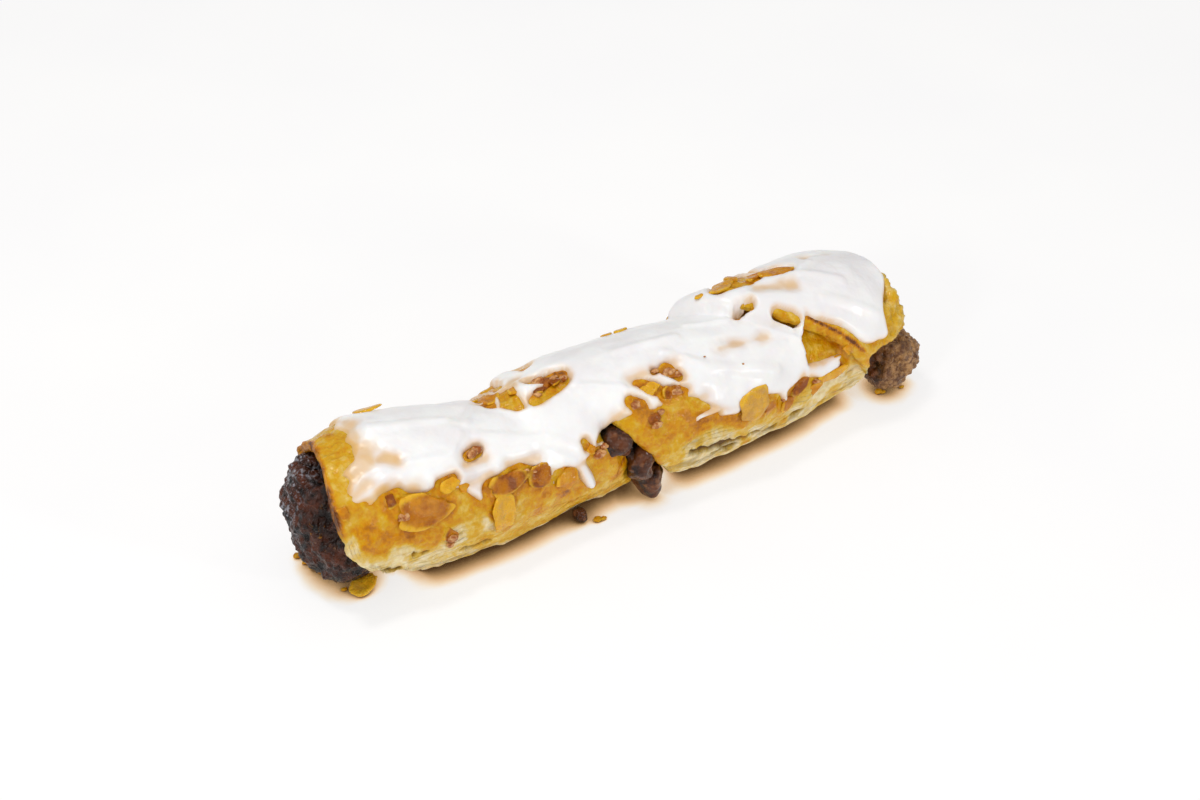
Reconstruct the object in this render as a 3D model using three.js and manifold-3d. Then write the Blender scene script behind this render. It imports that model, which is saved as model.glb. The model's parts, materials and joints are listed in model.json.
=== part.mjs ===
// A pastry twist: a strip of puff pastry wound round a dark nut filling, so that its edge runs along it
// as one helical lip. White icing lies over the top and sliced almonds stick to the glaze.
//
// Lengths are millimetres and angles degrees. The twist lies along X, its burnt end towards -X, with the
// near side towards -Y and +Z up. "Around" is the angle round it: 0 near side, 90 top, 180 back, 270 base.
// A place on the wound strip has a "turn": 360 per winding, falling as it comes over the top to the front.

import * as THREE from 'three';
import { ParametricGeometry } from 'three/addons/geometries/ParametricGeometry.js';
import { mergeVertices } from 'three/addons/utils/BufferGeometryUtils.js';
import Module from 'manifold-3d';

const wasm = await Module();
wasm.setup();

// ---- driving dimensions ----
const CLEARANCE = 0.3; // between pieces that touch
const REACH = 98; // half length of the uncut log, before its ends are trimmed
const MEAN_RADIUS = 22; // turns an angle into a length along the surface
const LIP_THICKNESS = 2.6; // the strip's edge where it laps over the winding below
const CORE_RADIUS = 11.5; // filling inside the twist
const ICING_THICKNESS = 1.3;
const ICING_EDGE = 0.45; // thickness where the icing ends
const SLICE_THICKNESS = 1.1;
const CRUST_RELIEF = 0.35; // how far the crust rises and sinks over its blisters
const FOOTPRINT_MIDDLE = [3.85, 1.31]; // middle of the finished twist's box, from the form's own zero
const DEGREE = Math.PI / 180;
const ARC = MEAN_RADIUS * DEGREE; // millimetres of surface per degree

// ---- small mathematics ----
const clamp = THREE.MathUtils.clamp;

function smooth(from, to, value) {
  const part = clamp((value - from) / (to - from), 0, 1);
  return part * part * (3 - 2 * part);
}

function bell(value, middle, width) {
  return Math.exp(-(((value - middle) / width) ** 2));
}

// A smooth curve through [place, value] pairs, level beyond its ends.
function through(pairs) {
  const slope = (a, b) => (pairs[b][1] - pairs[a][1]) / (pairs[b][0] - pairs[a][0]);
  const last = pairs.length - 1;
  const tangent = pairs.map((pair, i) => {
    if (i === 0) return slope(0, 1);
    if (i === last) return slope(last - 1, last);
    return (slope(i - 1, i) + slope(i, i + 1)) / 2;
  });
  return (place) => {
    const at = clamp(place, pairs[0][0], pairs[last][0]);
    let i = 0;
    while (i < last - 1 && at > pairs[i + 1][0]) i += 1;
    const step = pairs[i + 1][0] - pairs[i][0];
    const u = (at - pairs[i][0]) / step;
    const start = (2 * u ** 3 - 3 * u ** 2 + 1) * pairs[i][1] + (u ** 3 - 2 * u ** 2 + u) * step * tangent[i];
    const end = (3 * u ** 2 - 2 * u ** 3) * pairs[i + 1][1] + (u ** 3 - u ** 2) * step * tangent[i + 1];
    return start + end;
  };
}

// Even draws between 0 and 1 from a seed.
function drawsFrom(seed) {
  let state = seed;
  return () => {
    state = (state * 16807) % 2147483647;
    return state / 2147483647;
  };
}

// Uneven relief between about -1 and 1, with lumps as wide as the grain.
function lumps(x, y, z, grain) {
  const [a, b, c] = [x / grain, y / grain, z / grain];
  const broad = Math.sin(2.1 * a + 1.7 * Math.sin(1.3 * c)) * Math.cos(1.9 * b + 0.9 * Math.sin(1.1 * a));
  const fine = Math.sin(4.3 * c + 1.2 * b) * Math.cos(3.7 * a - 2.2 * c);
  return 0.65 * broad + 0.35 * fine;
}

// ---- the form of the twist ----
const middleY = through([[-98, 0], [15, 0], [50, 2.2], [98, 5.5]]);
const middleZ = through([[-98, 19], [0, 18.6], [50, 19], [98, 19]]);

// Where the strip's lip runs: turn -> x.
const lipAt = through([
  [-720, -104], [-330, -98], [-300, -84], [-270, -70], [-231, -56], [-180, -41], [-129, -22.5], [-85, -15.5],
  [-37, -7], [0, 2], [45, 12.5], [90, 19], [140, 25], [190, 30], [249, 36.5], [292, 50], [324, 64],
  [347, 71.8], [380, 79.5], [420, 86], [460, 92], [820, 104],
]);
// How much of the winding below shows in front of the lip: turn -> millimetres.
const bandAt = through([
  [-330, 8], [-231, 12], [-129, 14], [-90, 20], [-60, 14], [-30, 9], [0, 12], [45, 12], [90, 8], [180, 5],
  [290, 4], [460, 4],
]);
// The strip's highest radius, and how far it falls to its far side.
const crestAt = through([
  [-660, 22.5], [-489, 22.3], [-360, 22], [-200, 21], [-129, 20.8], [0, 21.3], [100, 20.5], [200, 22.6],
  [250, 23.8], [300, 23.6], [360, 22.5], [460, 21],
]);
const fallAt = through([
  [-660, 4], [-489, 6.8], [-400, 6], [-360, 5], [-200, 3], [-129, 2.6], [0, 3], [240, 3], [460, 3],
]);

const wrapped = (around) => ((((around + 90) % 360) + 360) % 360) - 90;
const nearFoot = (around) => bell(wrapped(around), -45, 35);

// The log under the laps: it shows as a band before each lip, and is hollow where the front lap gapes.
function logRadius(x, around) {
  const angle = wrapped(around);
  const lip = lipAt(-angle);
  const valley = 2.6 * bell(x, -36, 7) * bell(angle, 95, 60);
  const shoulder = 0.9 * bell(x, -23, 8) * bell(angle, 100, 70);
  const low = smooth(10, -40, angle);
  const front = smooth(52, 28, angle) * smooth(-90, -75, angle);
  const gape = 7.5 * bell(x - lip, 0.5 - 3.5 * low, 5 + 2 * low) * front;
  return 18.2 - valley + shoulder - gape - 0.6 * nearFoot(angle);
}

function lapEnd(turn) {
  return Math.min(lipAt(turn + 360) - bandAt(turn + 360), REACH);
}

// The top of one lap of the strip, rounded at the lip and falling away at its far side.
function lapRadius(x, turn) {
  const start = lipAt(turn);
  const across = (x - start) / Math.max(lapEnd(turn) - start, 0.01);
  const body = crestAt(turn) - fallAt(turn) * smooth(0.5, 1.12, across) - 2.5 * smooth(72, 92, x);
  const nose = 1.6 * Math.exp(-Math.max(x - start, 0) / 1.6);
  const burntTaper = 2.2 * smooth(-70, -90, x) * bell(wrapped(-turn), 120, 75);
  return body - nose - burntTaper - 0.6 * nearFoot(-turn);
}

// The radius of whatever lies outermost.
function outerRadius(x, around) {
  let radius = logRadius(x, around);
  for (const winding of [-360, 0, 360]) {
    const turn = winding - wrapped(around);
    if (x >= lipAt(turn) && x <= lapEnd(turn)) radius = Math.max(radius, lapRadius(x, turn));
  }
  return radius;
}

function place(x, around, radius) {
  const angle = around * DEGREE;
  return new THREE.Vector3(x, middleY(x) - radius * Math.cos(angle), middleZ(x) + radius * Math.sin(angle));
}

// ---- solids ----
// The closed surface of a geometry as a solid, turned to face outwards.
function solidFrom(geometry) {
  const bare = new THREE.BufferGeometry();
  bare.setAttribute('position', geometry.getAttribute('position').clone());
  bare.setIndex(geometry.getIndex());
  const joined = mergeVertices(bare, 1e-4);
  const points = joined.getAttribute('position');
  const corners = joined.getIndex().array;
  const triangles = [];
  const [a, b, c] = [new THREE.Vector3(), new THREE.Vector3(), new THREE.Vector3()];
  let volume = 0;
  for (let i = 0; i < corners.length; i += 3) {
    const [p, q, r] = corners.slice(i, i + 3);
    if (p === q || q === r || r === p) continue;
    a.fromBufferAttribute(points, p);
    b.fromBufferAttribute(points, q);
    c.fromBufferAttribute(points, r);
    volume += a.dot(b.cross(c));
    triangles.push(p, q, r);
  }
  if (volume < 0) triangles.reverse();
  const vertProperties = new Float32Array(points.array);
  const triVerts = new Uint32Array(triangles);
  return new wasm.Manifold(new wasm.Mesh({ numProp: 3, vertProperties, triVerts }));
}

// A closed skin of loops along a length, shut at both ends from their middles.
function skin(around, along, pointAt) {
  const rows = Array.from({ length: along }, (_, row) =>
    Array.from({ length: around }, (__, column) => pointAt(row, column)));
  const sumOf = (row) => row.reduce((sum, point) => sum.add(point), new THREE.Vector3());
  const middleOf = (row) => sumOf(row).divideScalar(around);
  const ends = [middleOf(rows[0]), middleOf(rows[along - 1])];
  return solidFrom(new ParametricGeometry((u, v, target) => {
    const row = Math.round(v * (along + 1));
    const column = Math.round(u * around) % around;
    if (row === 0) target.copy(ends[0]);
    else if (row === along + 1) target.copy(ends[1]);
    else target.copy(rows[row - 1][column]);
  }, around, along + 1));
}

const unite = (solids) => solids.reduce((whole, next) => whole.add(next));

function largestBody(solid) {
  return solid.decompose().reduce((best, body) => (body.volume() > best.volume() ? body : best));
}

function named(name, solid, look) {
  const { vertProperties, triVerts } = solid.getMesh();
  const geometry = new THREE.BufferGeometry();
  geometry.setAttribute('position', new THREE.BufferAttribute(new Float32Array(vertProperties), 3));
  geometry.setIndex(new THREE.BufferAttribute(new Uint32Array(triVerts), 1));
  geometry.computeVertexNormals();
  const mesh = new THREE.Mesh(geometry, new THREE.MeshStandardMaterial({ metalness: 0, ...look }));
  mesh.name = name;
  return mesh;
}

// ---- pastry ----
function pastryLog(grow) {
  const [around, along] = [26, 30];
  return skin(around, along, (row, column) => {
    const x = -REACH + (2 * REACH * row) / (along - 1);
    const angle = (360 * column) / around;
    return place(x, angle, logRadius(x, angle) + grow);
  });
}

// The wound strip, as one section swept along its turns: lip, top, far side and a hidden inner side.
function woundStrip(grow) {
  const [firstTurn, lastTurn, step] = [-650, 450, 12.5];
  const across = [0.012, 0.05, 0.13, 0.28, 0.46, 0.64, 0.8, 0.91, 1];
  const along = (lastTurn - firstTurn) / step + 1;
  return skin(across.length + 6, along, (row, column) => {
    const turn = firstTurn + step * row;
    const [start, end] = [lipAt(turn), lapEnd(turn)];
    const lipTop = lapRadius(start + 1, turn);
    const lipFoot = lipTop - LIP_THICKNESS;
    const section = across.map((part) => {
      const x = start + part * (end - start);
      return [x, lapRadius(x, turn) + CRUST_RELIEF * lumps(x, MEAN_RADIUS * turn * DEGREE, 0, 7) + grow];
    });
    section.push([end + 0.8 + grow, lapRadius(end, turn) - 1.6]);
    section.push([end + 0.5 + grow, CORE_RADIUS]);
    section.push([Math.min(start + 8, end), CORE_RADIUS]);
    section.push([Math.min(start + 5, end - 0.5), lipFoot - 0.8 - grow]);
    section.push([start + 0.4 - grow, lipFoot - grow]);
    section.push([start - 0.5 - grow, lipTop - 0.4 * LIP_THICKNESS]);
    const [x, radius] = section[column];
    return place(x, -turn, radius);
  });
}

// The ends as baked: slanting at the burnt end, with a tongue of pastry standing out at the other.
const burntEndAt = through([
  [-90, -66], [-60, -64], [-47, -64.5], [-35, -68.5], [-21, -75.5], [-8, -82.5], [4, -86.6], [22, -87.8],
  [42, -88], [68, -86.4], [90, -84.8], [107, -83.5], [180, -82], [235, -76], [270, -66],
]);
const openEndAt = through([
  [-90, 77.5], [-45, 77.5], [-20, 77], [0, 76.3], [12, 76], [16, 77.5], [18.5, 82], [20.5, 88], [25, 93],
  [32, 95.8], [40, 96], [50, 94.5], [60, 92.5], [75, 91.3], [90, 90.8], [110, 88.8], [140, 86.5], [200, 84], [235, 80],
  [270, 77.5],
]);

// What is left after the ends are trimmed and the base is flattened on the tray.
function trimmingBlock(grow) {
  const around = 36;
  const radii = [9, 18, 27, 36];
  const rows = [...radii.map((radius) => [burntEndAt, radius, -grow])];
  rows.push(...radii.map((radius) => [openEndAt, radius, grow]).reverse());
  return skin(around, rows.length, (row, column) => {
    const angle = (360 * column) / around;
    const [endAt, radius, more] = rows[row];
    const middle = (endAt(0) + endAt(90) + endAt(180) + endAt(-90)) / 4;
    const x = THREE.MathUtils.lerp(middle, endAt(wrapped(angle)), smooth(6, 18, radius)) + more;
    const [side, rise] = [radius * Math.cos(angle * DEGREE), radius * Math.sin(angle * DEGREE)];
    return new THREE.Vector3(x, -side, Math.max(19 + rise, 0));
  });
}

// ---- almonds ----
// A slice lying on the surface at (x, around): an oval with one pointed end, bent over what carries it.
function slice({ x, around, length, width, turned, lift = 0, tip = 0, sides = 10 }, grow = 0) {
  const levels = [[0.6, 0.5], [1, 0], [0.6, -0.5]];
  const thickness = SLICE_THICKNESS + 2 * grow;
  return skin(sides, levels.length, (row, column) => {
    const [spread, height] = levels[row];
    const angle = (360 * column * DEGREE) / sides;
    const along = (length / 2 + grow) * spread * Math.cos(angle);
    const sideways = (width / 2 + grow) * spread * Math.sin(angle) * (1 - 0.28 * Math.cos(angle));
    const [cos, sin] = [Math.cos(turned * DEGREE), Math.sin(turned * DEGREE)];
    const dx = along * cos - sideways * sin;
    const ds = along * sin + sideways * cos;
    const seat = Math.max(outerRadius(x, around), outerRadius(x + 0.6 * dx, around + (0.6 * ds) / ARC));
    const rise = lift + tip * (along / length) + 0.3 * lumps(x + dx, around + ds, 0, 5);
    return place(x + dx, around + ds / ARC, seat + rise + height * thickness + 0.5 * SLICE_THICKNESS);
  });
}

// The slices large enough to pick off one by one.
const LARGE_SLICES = [
  { x: -66, around: 25, length: 16, width: 9, turned: -8, lift: 0.5 },
  { x: -44.5, around: 2, length: 14, width: 8, turned: 78, lift: 0.5 },
  { x: -41.5, around: 23, length: 12, width: 6, turned: 6, lift: 0.5 },
  { x: -31.5, around: 18, length: 8.5, width: 7, turned: 50, lift: 0.5 },
  { x: -23.5, around: 6, length: 9, width: 6.5, turned: 70, lift: 0.5 },
  { x: 34.5, around: 12, length: 13, width: 9.5, turned: 25, lift: 1.2 },
  { x: 63.5, around: 5, length: 12, width: 5, turned: 12, lift: 0.6 },
  { x: 52, around: 9, length: 8, width: 4.5, turned: 35, lift: 0.5 },
  { x: -33, around: 112, length: 10, width: 6, turned: 70, lift: 0.5 },
  { x: -20, around: 90, length: 9, width: 6, turned: 20, lift: 0.5 },
  { x: 44, around: 113, length: 11, width: 6, turned: 15, lift: 0.8 },
  { x: 59.5, around: 99.5, length: 11, width: 5.4, turned: -12, lift: 0.8 },
];

// Small flakes and bits of nut baked on: some where the icing leaves the front bare, the rest down the back.
const FRONT_FLAKES = [
  { x: -86, around: 40, length: 4.5, width: 4, turned: 20 },
  { x: -57, around: 34, length: 6, width: 3, turned: 12 },
  { x: -59.5, around: 0, length: 6, width: 4.5, turned: 80 },
  { x: -73.5, around: 38, length: 5, width: 4, turned: 30 },
  { x: -27, around: 96, length: 6, width: 4, turned: 60 },
  { x: -15, around: 24, length: 4, width: 3, turned: 80 },
  { x: 0.5, around: 44, length: 5, width: 4, turned: 100 },
  { x: 5.5, around: 50, length: 8, width: 4, turned: 140 },
  { x: 11, around: 42, length: 6, width: 5, turned: 0 },
  { x: 13.5, around: 55, length: 5, width: 4, turned: 130 },
  { x: 3.5, around: 31, length: 5, width: 4.5, turned: 30 },
  { x: 57, around: -1, length: 7, width: 4, turned: 30 },
  { x: 47, around: 1, length: 7, width: 3.5, turned: 70 },
  { x: 66, around: 14, length: 5, width: 4, turned: 40 },
];

function backFlakes() {
  const draw = drawsFrom(4711);
  const stations = [-72, -60, -47, -24, -10, 4, 17, 47, 60, 74];
  return stations.map((x) => ({
    x: x + 5 * draw(),
    around: 172 + 34 * draw(),
    length: 6 + 5 * draw(),
    width: 4 + 2.5 * draw(),
    turned: 180 * draw(),
  }));
}

const SMALL_FLAKES = [...FRONT_FLAKES, ...backFlakes()].map((flake) => ({ ...flake, lift: -0.15, sides: 6 }));

// ---- filling ----
// The filling's own radius round the twist's middle line, from the burnt end to the open one.
const fillingAt = through([
  [-93, 3], [-92, 6.5], [-91, 9.2], [-90, 12], [-89, 14.4], [-87.5, 16], [-85.5, 17.2], [-83, 17.6],
  [-77, 16.6], [-70, 13.6], [-62, 11.6], [-50, 11.5], [60, 11.5], [70, 11.5], [78, 12], [84, 12.5],
  [89, 10.5], [92, 6],
]);

function fillingCore(grow) {
  const around = 24;
  const stations = [-93, -91.6, -90.2, -88.6, -86.2, -82.5, -77, -68, -58];
  for (let x = -40; x <= 70; x += 22) stations.push(x);
  stations.push(78, 83, 87, 90, 92);
  return skin(around, stations.length, (row, column) => {
    const x = stations[row];
    const angle = (360 * column) / around;
    const burnt = smooth(-80, -88, x);
    const bare = Math.max(burnt, smooth(80, 86, x));
    const [side, rise] = [14 * Math.cos(angle * DEGREE), 14 * Math.sin(angle * DEGREE)];
    const rough = (0.2 + 1.3 * bare) * lumps(x, side, rise, 4.6);
    const radius = fillingAt(x) + rough + grow;
    const end = row === 0 ? -grow : row === stations.length - 1 ? grow : 0;
    const point = place(x + end, angle, radius);
    point.z = Math.max(point.z, 0.6 * CLEARANCE);
    return point;
  });
}

// Filling that boiled out of the laps, as rough lumps: middle, then half sizes.
const LEAKS = [
  { at: [-5.5, -14.5, 24], half: [5.2, 5, 5.4] },
  { at: [0.5, -16, 15.5], half: [4.4, 5, 6] },
  { at: [2, -12.5, 11], half: [4, 5.5, 6] },
  { at: [5.2, -14.4, 6.8], half: [4.3, 4.6, 5.6] },
  { at: [92, -5.8, 10.2], half: [8.8, 8.4, 9.8] },
];

function leak({ at, half }, grow) {
  const ball = new THREE.SphereGeometry(1, 11, 8);
  const points = ball.getAttribute('position');
  const point = new THREE.Vector3();
  for (let i = 0; i < points.count; i += 1) {
    point.fromBufferAttribute(points, i);
    const rough = 1 + 0.1 * lumps(point.x * half[0] + at[0], point.y * half[1], point.z * half[2], 3.6);
    point.set(...half.map((size, axis) => at[axis] + (size * rough + grow) * point.getComponent(axis)));
    point.z = Math.max(point.z, 0.6 * CLEARANCE);
    points.setXYZ(i, point.x, point.y, point.z);
  }
  return solidFrom(ball);
}

const filling = (grow) => unite([fillingCore(grow), ...LEAKS.map((one) => leak(one, grow))]);

// ---- icing ----
// The spread icing in surface coordinates: its front edge and back edge as angles along the twist.
const frontEdgeAt = through([
  [-86, 52], [-80, 43], [-72, 40], [-67, 36], [-58, 35], [-50, 29], [-42, 31], [-36, 30], [-29, 21],
  [-23, 17], [-19, 17], [-14, 30], [-9, 33], [-5, 38], [2, 36], [14, 33], [22, 23], [29, 15], [37, 18],
  [44, 15], [53, 16], [58, 30], [62, 49.5], [67, 41], [73, 25.5], [80, 21], [86, 24],
]);
const leftEdgeAt = through([
  [30, -84], [52, -84], [66, -79], [85, -76.5], [110, -76], [130, -73], [165, -70],
]);
const rightEdgeAt = through([
  [15, 83], [32, 83.6], [42, 84.5], [52, 87], [62, 89.8], [82, 89.8], [100, 88.5], [130, 85], [165, 79],
]);
const backEdgeAt = (x) => 152 + 9 * Math.sin(x / 7.5) + 6 * Math.sin(x / 3.4 + 1);

// Runs of icing past the edge, and bare places in it: from and to [x, around] with half widths.
const RUNS = [
  [[-52, 30], [-50.5, 21], 2.2, 1.2],
  [[-28.5, 22], [-28, 10], 1.3, 0.8],
  [[-18, 20], [-15.5, -10], 2.7, 2.3],
  [[46, 18], [46.5, 6], 2.4, 1],
  [[53, 22], [66, 18], 3.2, 3.4],
];
const BARE_PLACES = [
  [[-50, 49], [-46, 51], 1.8, 2],
  [[-33, 150], [-31, 100], 5.5, 4.2],
  [[-31, 98], [-29, 82], 3.4, 2],
  [[-24, 80], [-15, 88], 2.6, 2.2],
  [[-18, 126], [-18, 133], 1.6, 2.2],
  [[4, 52], [8, 47], 1.5, 1.5],
  [[12, 57], [15, 51], 1.4, 1.4],
  [[42, 118], [61, 108], 3.6, 2.6],
  [[45, 134], [58, 128], 5, 5],
  [[61, 38], [62, 30], 3, 3],
];

// Distance inside a stroke whose half width changes from one end to the other.
function insideStroke(x, around, [from, to, startHalf, endHalf]) {
  const [run, rise] = [to[0] - from[0], (to[1] - from[1]) * ARC];
  const [dx, ds] = [x - from[0], (around - from[1]) * ARC];
  const part = clamp((dx * run + ds * rise) / (run * run + rise * rise), 0, 1);
  const gap = Math.hypot(dx - part * run, ds - part * rise);
  return THREE.MathUtils.lerp(startHalf, endHalf, part) - gap;
}

// How far inside the icing a place lies, in millimetres along the surface, and below zero outside.
function icingCover(x, around) {
  const spread = Math.min(
    (around - frontEdgeAt(x)) * ARC * 0.85,
    (backEdgeAt(x) - around) * ARC,
    x - leftEdgeAt(around),
    rightEdgeAt(around) - x,
  );
  const withRuns = Math.max(spread, ...RUNS.map((run) => insideStroke(x, around, run)));
  return Math.min(withRuns, ...BARE_PLACES.map((bare) => -insideStroke(x, around, bare)));
}

// Icing bridges the steps below it, so its seat leans towards the highest ground close by.
function seatRadius(x, around) {
  const steps = [-1, -0.5, 0, 0.5, 1];
  const [reach, sharpness] = [3.6, 1.6];
  let sum = 0;
  for (const dx of steps) {
    for (const ds of steps) {
      const ground = outerRadius(x + reach * dx, around + (reach * ds) / ARC);
      sum += Math.exp(sharpness * (ground - MEAN_RADIUS)) / steps.length ** 2;
    }
  }
  return MEAN_RADIUS + Math.log(sum) / sharpness;
}

// A sheet over the grid of (x, around) where the cover is positive, with a rounded edge and closed walls.
function icingSheet() {
  const [columns, rows] = [44, 20];
  const [xFirst, xLast, first, last] = [-88, 91, -24, 172];
  const top = [];
  const bottom = [];
  const keys = new Map();
  const corner = (x, around, cover) => {
    const key = `${x.toFixed(4)} ${around.toFixed(4)}`;
    if (!keys.has(key)) {
      const inward = clamp(cover / 3, 0, 1);
      const body = ICING_EDGE + (ICING_THICKNESS - ICING_EDGE) * Math.sqrt(1 - (1 - inward) ** 2);
      const seat = seatRadius(x, around);
      keys.set(key, top.length);
      const underside = seat + CLEARANCE + CRUST_RELIEF;
      top.push(place(x, around, underside + body + 0.15 * lumps(x, around * ARC, 0, 8)));
      bottom.push(place(x, around, underside));
    }
    return keys.get(key);
  };
  const at = (i, j) => {
    const x = xFirst + ((xLast - xFirst) * i) / columns;
    const around = first + ((last - first) * j) / rows;
    return { x, around, cover: icingCover(x, around) };
  };
  const faces = [];
  const rims = [];
  const crossing = (p, q) => {
    const part = clamp(p.cover / (p.cover - q.cover), 0.08, 0.92);
    return { x: p.x + (q.x - p.x) * part, around: p.around + (q.around - p.around) * part, cover: 0 };
  };
  const cell = (points) => {
    const kept = [];
    const onRim = [];
    points.forEach((point, i) => {
      const next = points[(i + 1) % points.length];
      if (point.cover > 0) kept.push(point);
      if (point.cover > 0 !== next.cover > 0) {
        const cut = point.cover > 0 ? crossing(point, next) : crossing(next, point);
        kept.push(cut);
        onRim.push(cut);
      }
    });
    if (kept.length < 3) return;
    const ids = kept.map((point) => corner(point.x, point.around, point.cover));
    for (let i = 1; i < ids.length - 1; i += 1) faces.push([ids[0], ids[i], ids[i + 1]]);
    if (onRim.length !== 2) return;
    const [a, b] = onRim.map((point) => ids[kept.indexOf(point)]);
    rims.push(ids[(ids.indexOf(a) + 1) % ids.length] === b ? [a, b] : [b, a]);
  };
  for (let i = 0; i < columns; i += 1) {
    for (let j = 0; j < rows; j += 1) {
      const [p, q, r, s] = [at(i, j), at(i + 1, j), at(i + 1, j + 1), at(i, j + 1)];
      cell([p, q, r]);
      cell([p, r, s]);
    }
  }
  const count = top.length;
  const index = [];
  for (const [a, b, c] of faces) index.push(a, b, c, c + count, b + count, a + count);
  for (const [a, b] of rims) index.push(b, a, a + count, b, a + count, b + count);
  const geometry = new THREE.BufferGeometry().setFromPoints([...top, ...bottom]);
  geometry.setIndex(index);
  return solidFrom(geometry);
}

// ---- what lies on the tray beside the twist ----
const TRAY_DRIP = { at: [-16.7, -14.3, 2.3], half: [2, 3.1, 2.4] };

function fallenSlice() {
  const outline = new THREE.Shape().absellipse(0, 0, 4.3, 2.3, 0, 2 * Math.PI);
  const bevel = { bevelThickness: 0.3, bevelSize: 0.4, bevelSegments: 1 };
  const flat = new THREE.ExtrudeGeometry(outline, { depth: 0.5, curveSegments: 6, ...bevel });
  flat.rotateY(-6 * DEGREE);
  flat.rotateZ(12 * DEGREE);
  flat.translate(-79.2, -10, 1.3);
  return solidFrom(flat);
}

// ---- assembly ----
function pastry(grow) {
  const dough = pastryLog(grow).add(woundStrip(grow)).intersect(trimmingBlock(grow));
  return unite([dough, ...SMALL_FLAKES.map((flake) => slice(flake, grow))]);
}

const roomForFilling = filling(CLEARANCE);
const roomForPastry = pastry(CLEARANCE).add(roomForFilling);
const bodies = {
  pastry: largestBody(pastry(0).subtract(roomForFilling)),
  filling: largestBody(filling(0)),
};
const slices = [];
let roomForSlices = slice(LARGE_SLICES[0], CLEARANCE);
LARGE_SLICES.forEach((one, i) => {
  const alone = slice(one).subtract(roomForPastry);
  slices.push(largestBody(i > 0 ? alone.subtract(roomForSlices) : alone));
  roomForSlices = roomForSlices.add(slice(one, CLEARANCE));
});
const icing = largestBody(icingSheet().subtract(roomForPastry).subtract(roomForSlices));

const whole = new THREE.Group();
whole.add(named('pastry', bodies.pastry, { color: 0xd9a441, roughness: 0.35 }));
whole.add(named('filling', bodies.filling, { color: 0x3a2420, roughness: 0.5 }));
whole.add(named('icing', icing, { color: 0xf4f2ee, roughness: 0.3 }));
slices.forEach((one, i) => {
  whole.add(named(`almond_${i + 1}`, one, { color: 0xd08a1e, roughness: 0.25 }));
});
const fallen = largestBody(fallenSlice().subtract(roomForPastry));
const drip = leak(TRAY_DRIP, 0).subtract(roomForPastry);
whole.add(named('almond_fallen', fallen, { color: 0xd9961f, roughness: 0.3 }));
whole.add(named('drip_on_tray', drip, { color: 0x5a3226, roughness: 0.3 }));

// The origin is the middle of the whole footprint, on the surface that the twist stands on.
whole.position.set(-FOOTPRINT_MIDDLE[0], -FOOTPRINT_MIDDLE[1], 0);

export default whole;
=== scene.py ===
# %% [markdown]
# # A pastry twist
# A baker spreads nut filling on puff pastry, folds it to a strip and winds the strip, so that its edge runs
# along the twist as one helical lip. The filling boils out of the open ends and burns. After baking the
# twist gets a honey-coloured glaze, sliced almonds and poured sugar icing.
#
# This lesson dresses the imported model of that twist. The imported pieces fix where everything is, so each
# cell works out its shape from the same few named curves and then adds what an oven and an icing spoon do.

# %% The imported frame
import itertools
import json
import math

import bpy
import numpy as np
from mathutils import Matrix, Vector

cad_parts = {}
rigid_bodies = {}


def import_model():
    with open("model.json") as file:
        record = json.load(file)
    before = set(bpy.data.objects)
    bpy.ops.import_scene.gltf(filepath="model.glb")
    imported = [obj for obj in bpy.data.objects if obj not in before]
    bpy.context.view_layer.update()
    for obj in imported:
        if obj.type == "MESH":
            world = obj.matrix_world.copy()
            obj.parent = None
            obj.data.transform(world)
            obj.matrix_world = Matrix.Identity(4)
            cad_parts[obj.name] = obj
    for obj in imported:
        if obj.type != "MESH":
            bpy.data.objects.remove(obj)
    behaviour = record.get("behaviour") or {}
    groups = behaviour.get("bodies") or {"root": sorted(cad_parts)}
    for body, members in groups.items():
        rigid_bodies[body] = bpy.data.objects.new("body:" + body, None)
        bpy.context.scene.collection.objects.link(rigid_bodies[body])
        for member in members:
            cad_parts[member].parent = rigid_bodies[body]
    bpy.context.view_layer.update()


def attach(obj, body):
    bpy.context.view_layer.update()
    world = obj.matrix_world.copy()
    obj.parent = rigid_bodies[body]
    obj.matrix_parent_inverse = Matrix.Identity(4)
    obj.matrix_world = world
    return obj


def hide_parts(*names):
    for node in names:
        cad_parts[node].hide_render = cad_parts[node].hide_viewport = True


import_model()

# %% [markdown]
# ## Lengths, angles and chance
# The form is worked out in millimetres, because bakers' sizes are easy to picture that way, and becomes
# metres only when points are handed to Blender. "Around" is the angle round the twist in degrees: 0 at the
# near side, 90 on top, 180 at the back. Chance comes from a hash of the place and a seed, so that two runs
# agree, and so that pieces which touch can ask for the same bumps.

# %% Small mathematics
MM = 0.001
FORM_ZERO = np.array([3.85, 1.31, 0.0])  # the frame's origin, seen from the form's own zero, in mm
MEAN_RADIUS = 22.0
ARC = math.radians(MEAN_RADIUS)  # mm of surface for each degree
SEAM = -90.0  # degrees, below the twist, where its rolled skins are joined
HASH_PRIMES = np.array([73856093, 19349663, 83492791])
HASH_SEED, HASH_SPREAD = 2654435, 1274126177


def smooth(start, end, value):
    part = np.clip((np.asarray(value, float) - start) / (end - start), 0, 1)
    return part * part * (3 - 2 * part)


def bell(value, middle, width):
    return np.exp(-(((np.asarray(value, float) - middle) / width) ** 2))


def mix(a, b, part):
    return a + (b - a) * part


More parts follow.
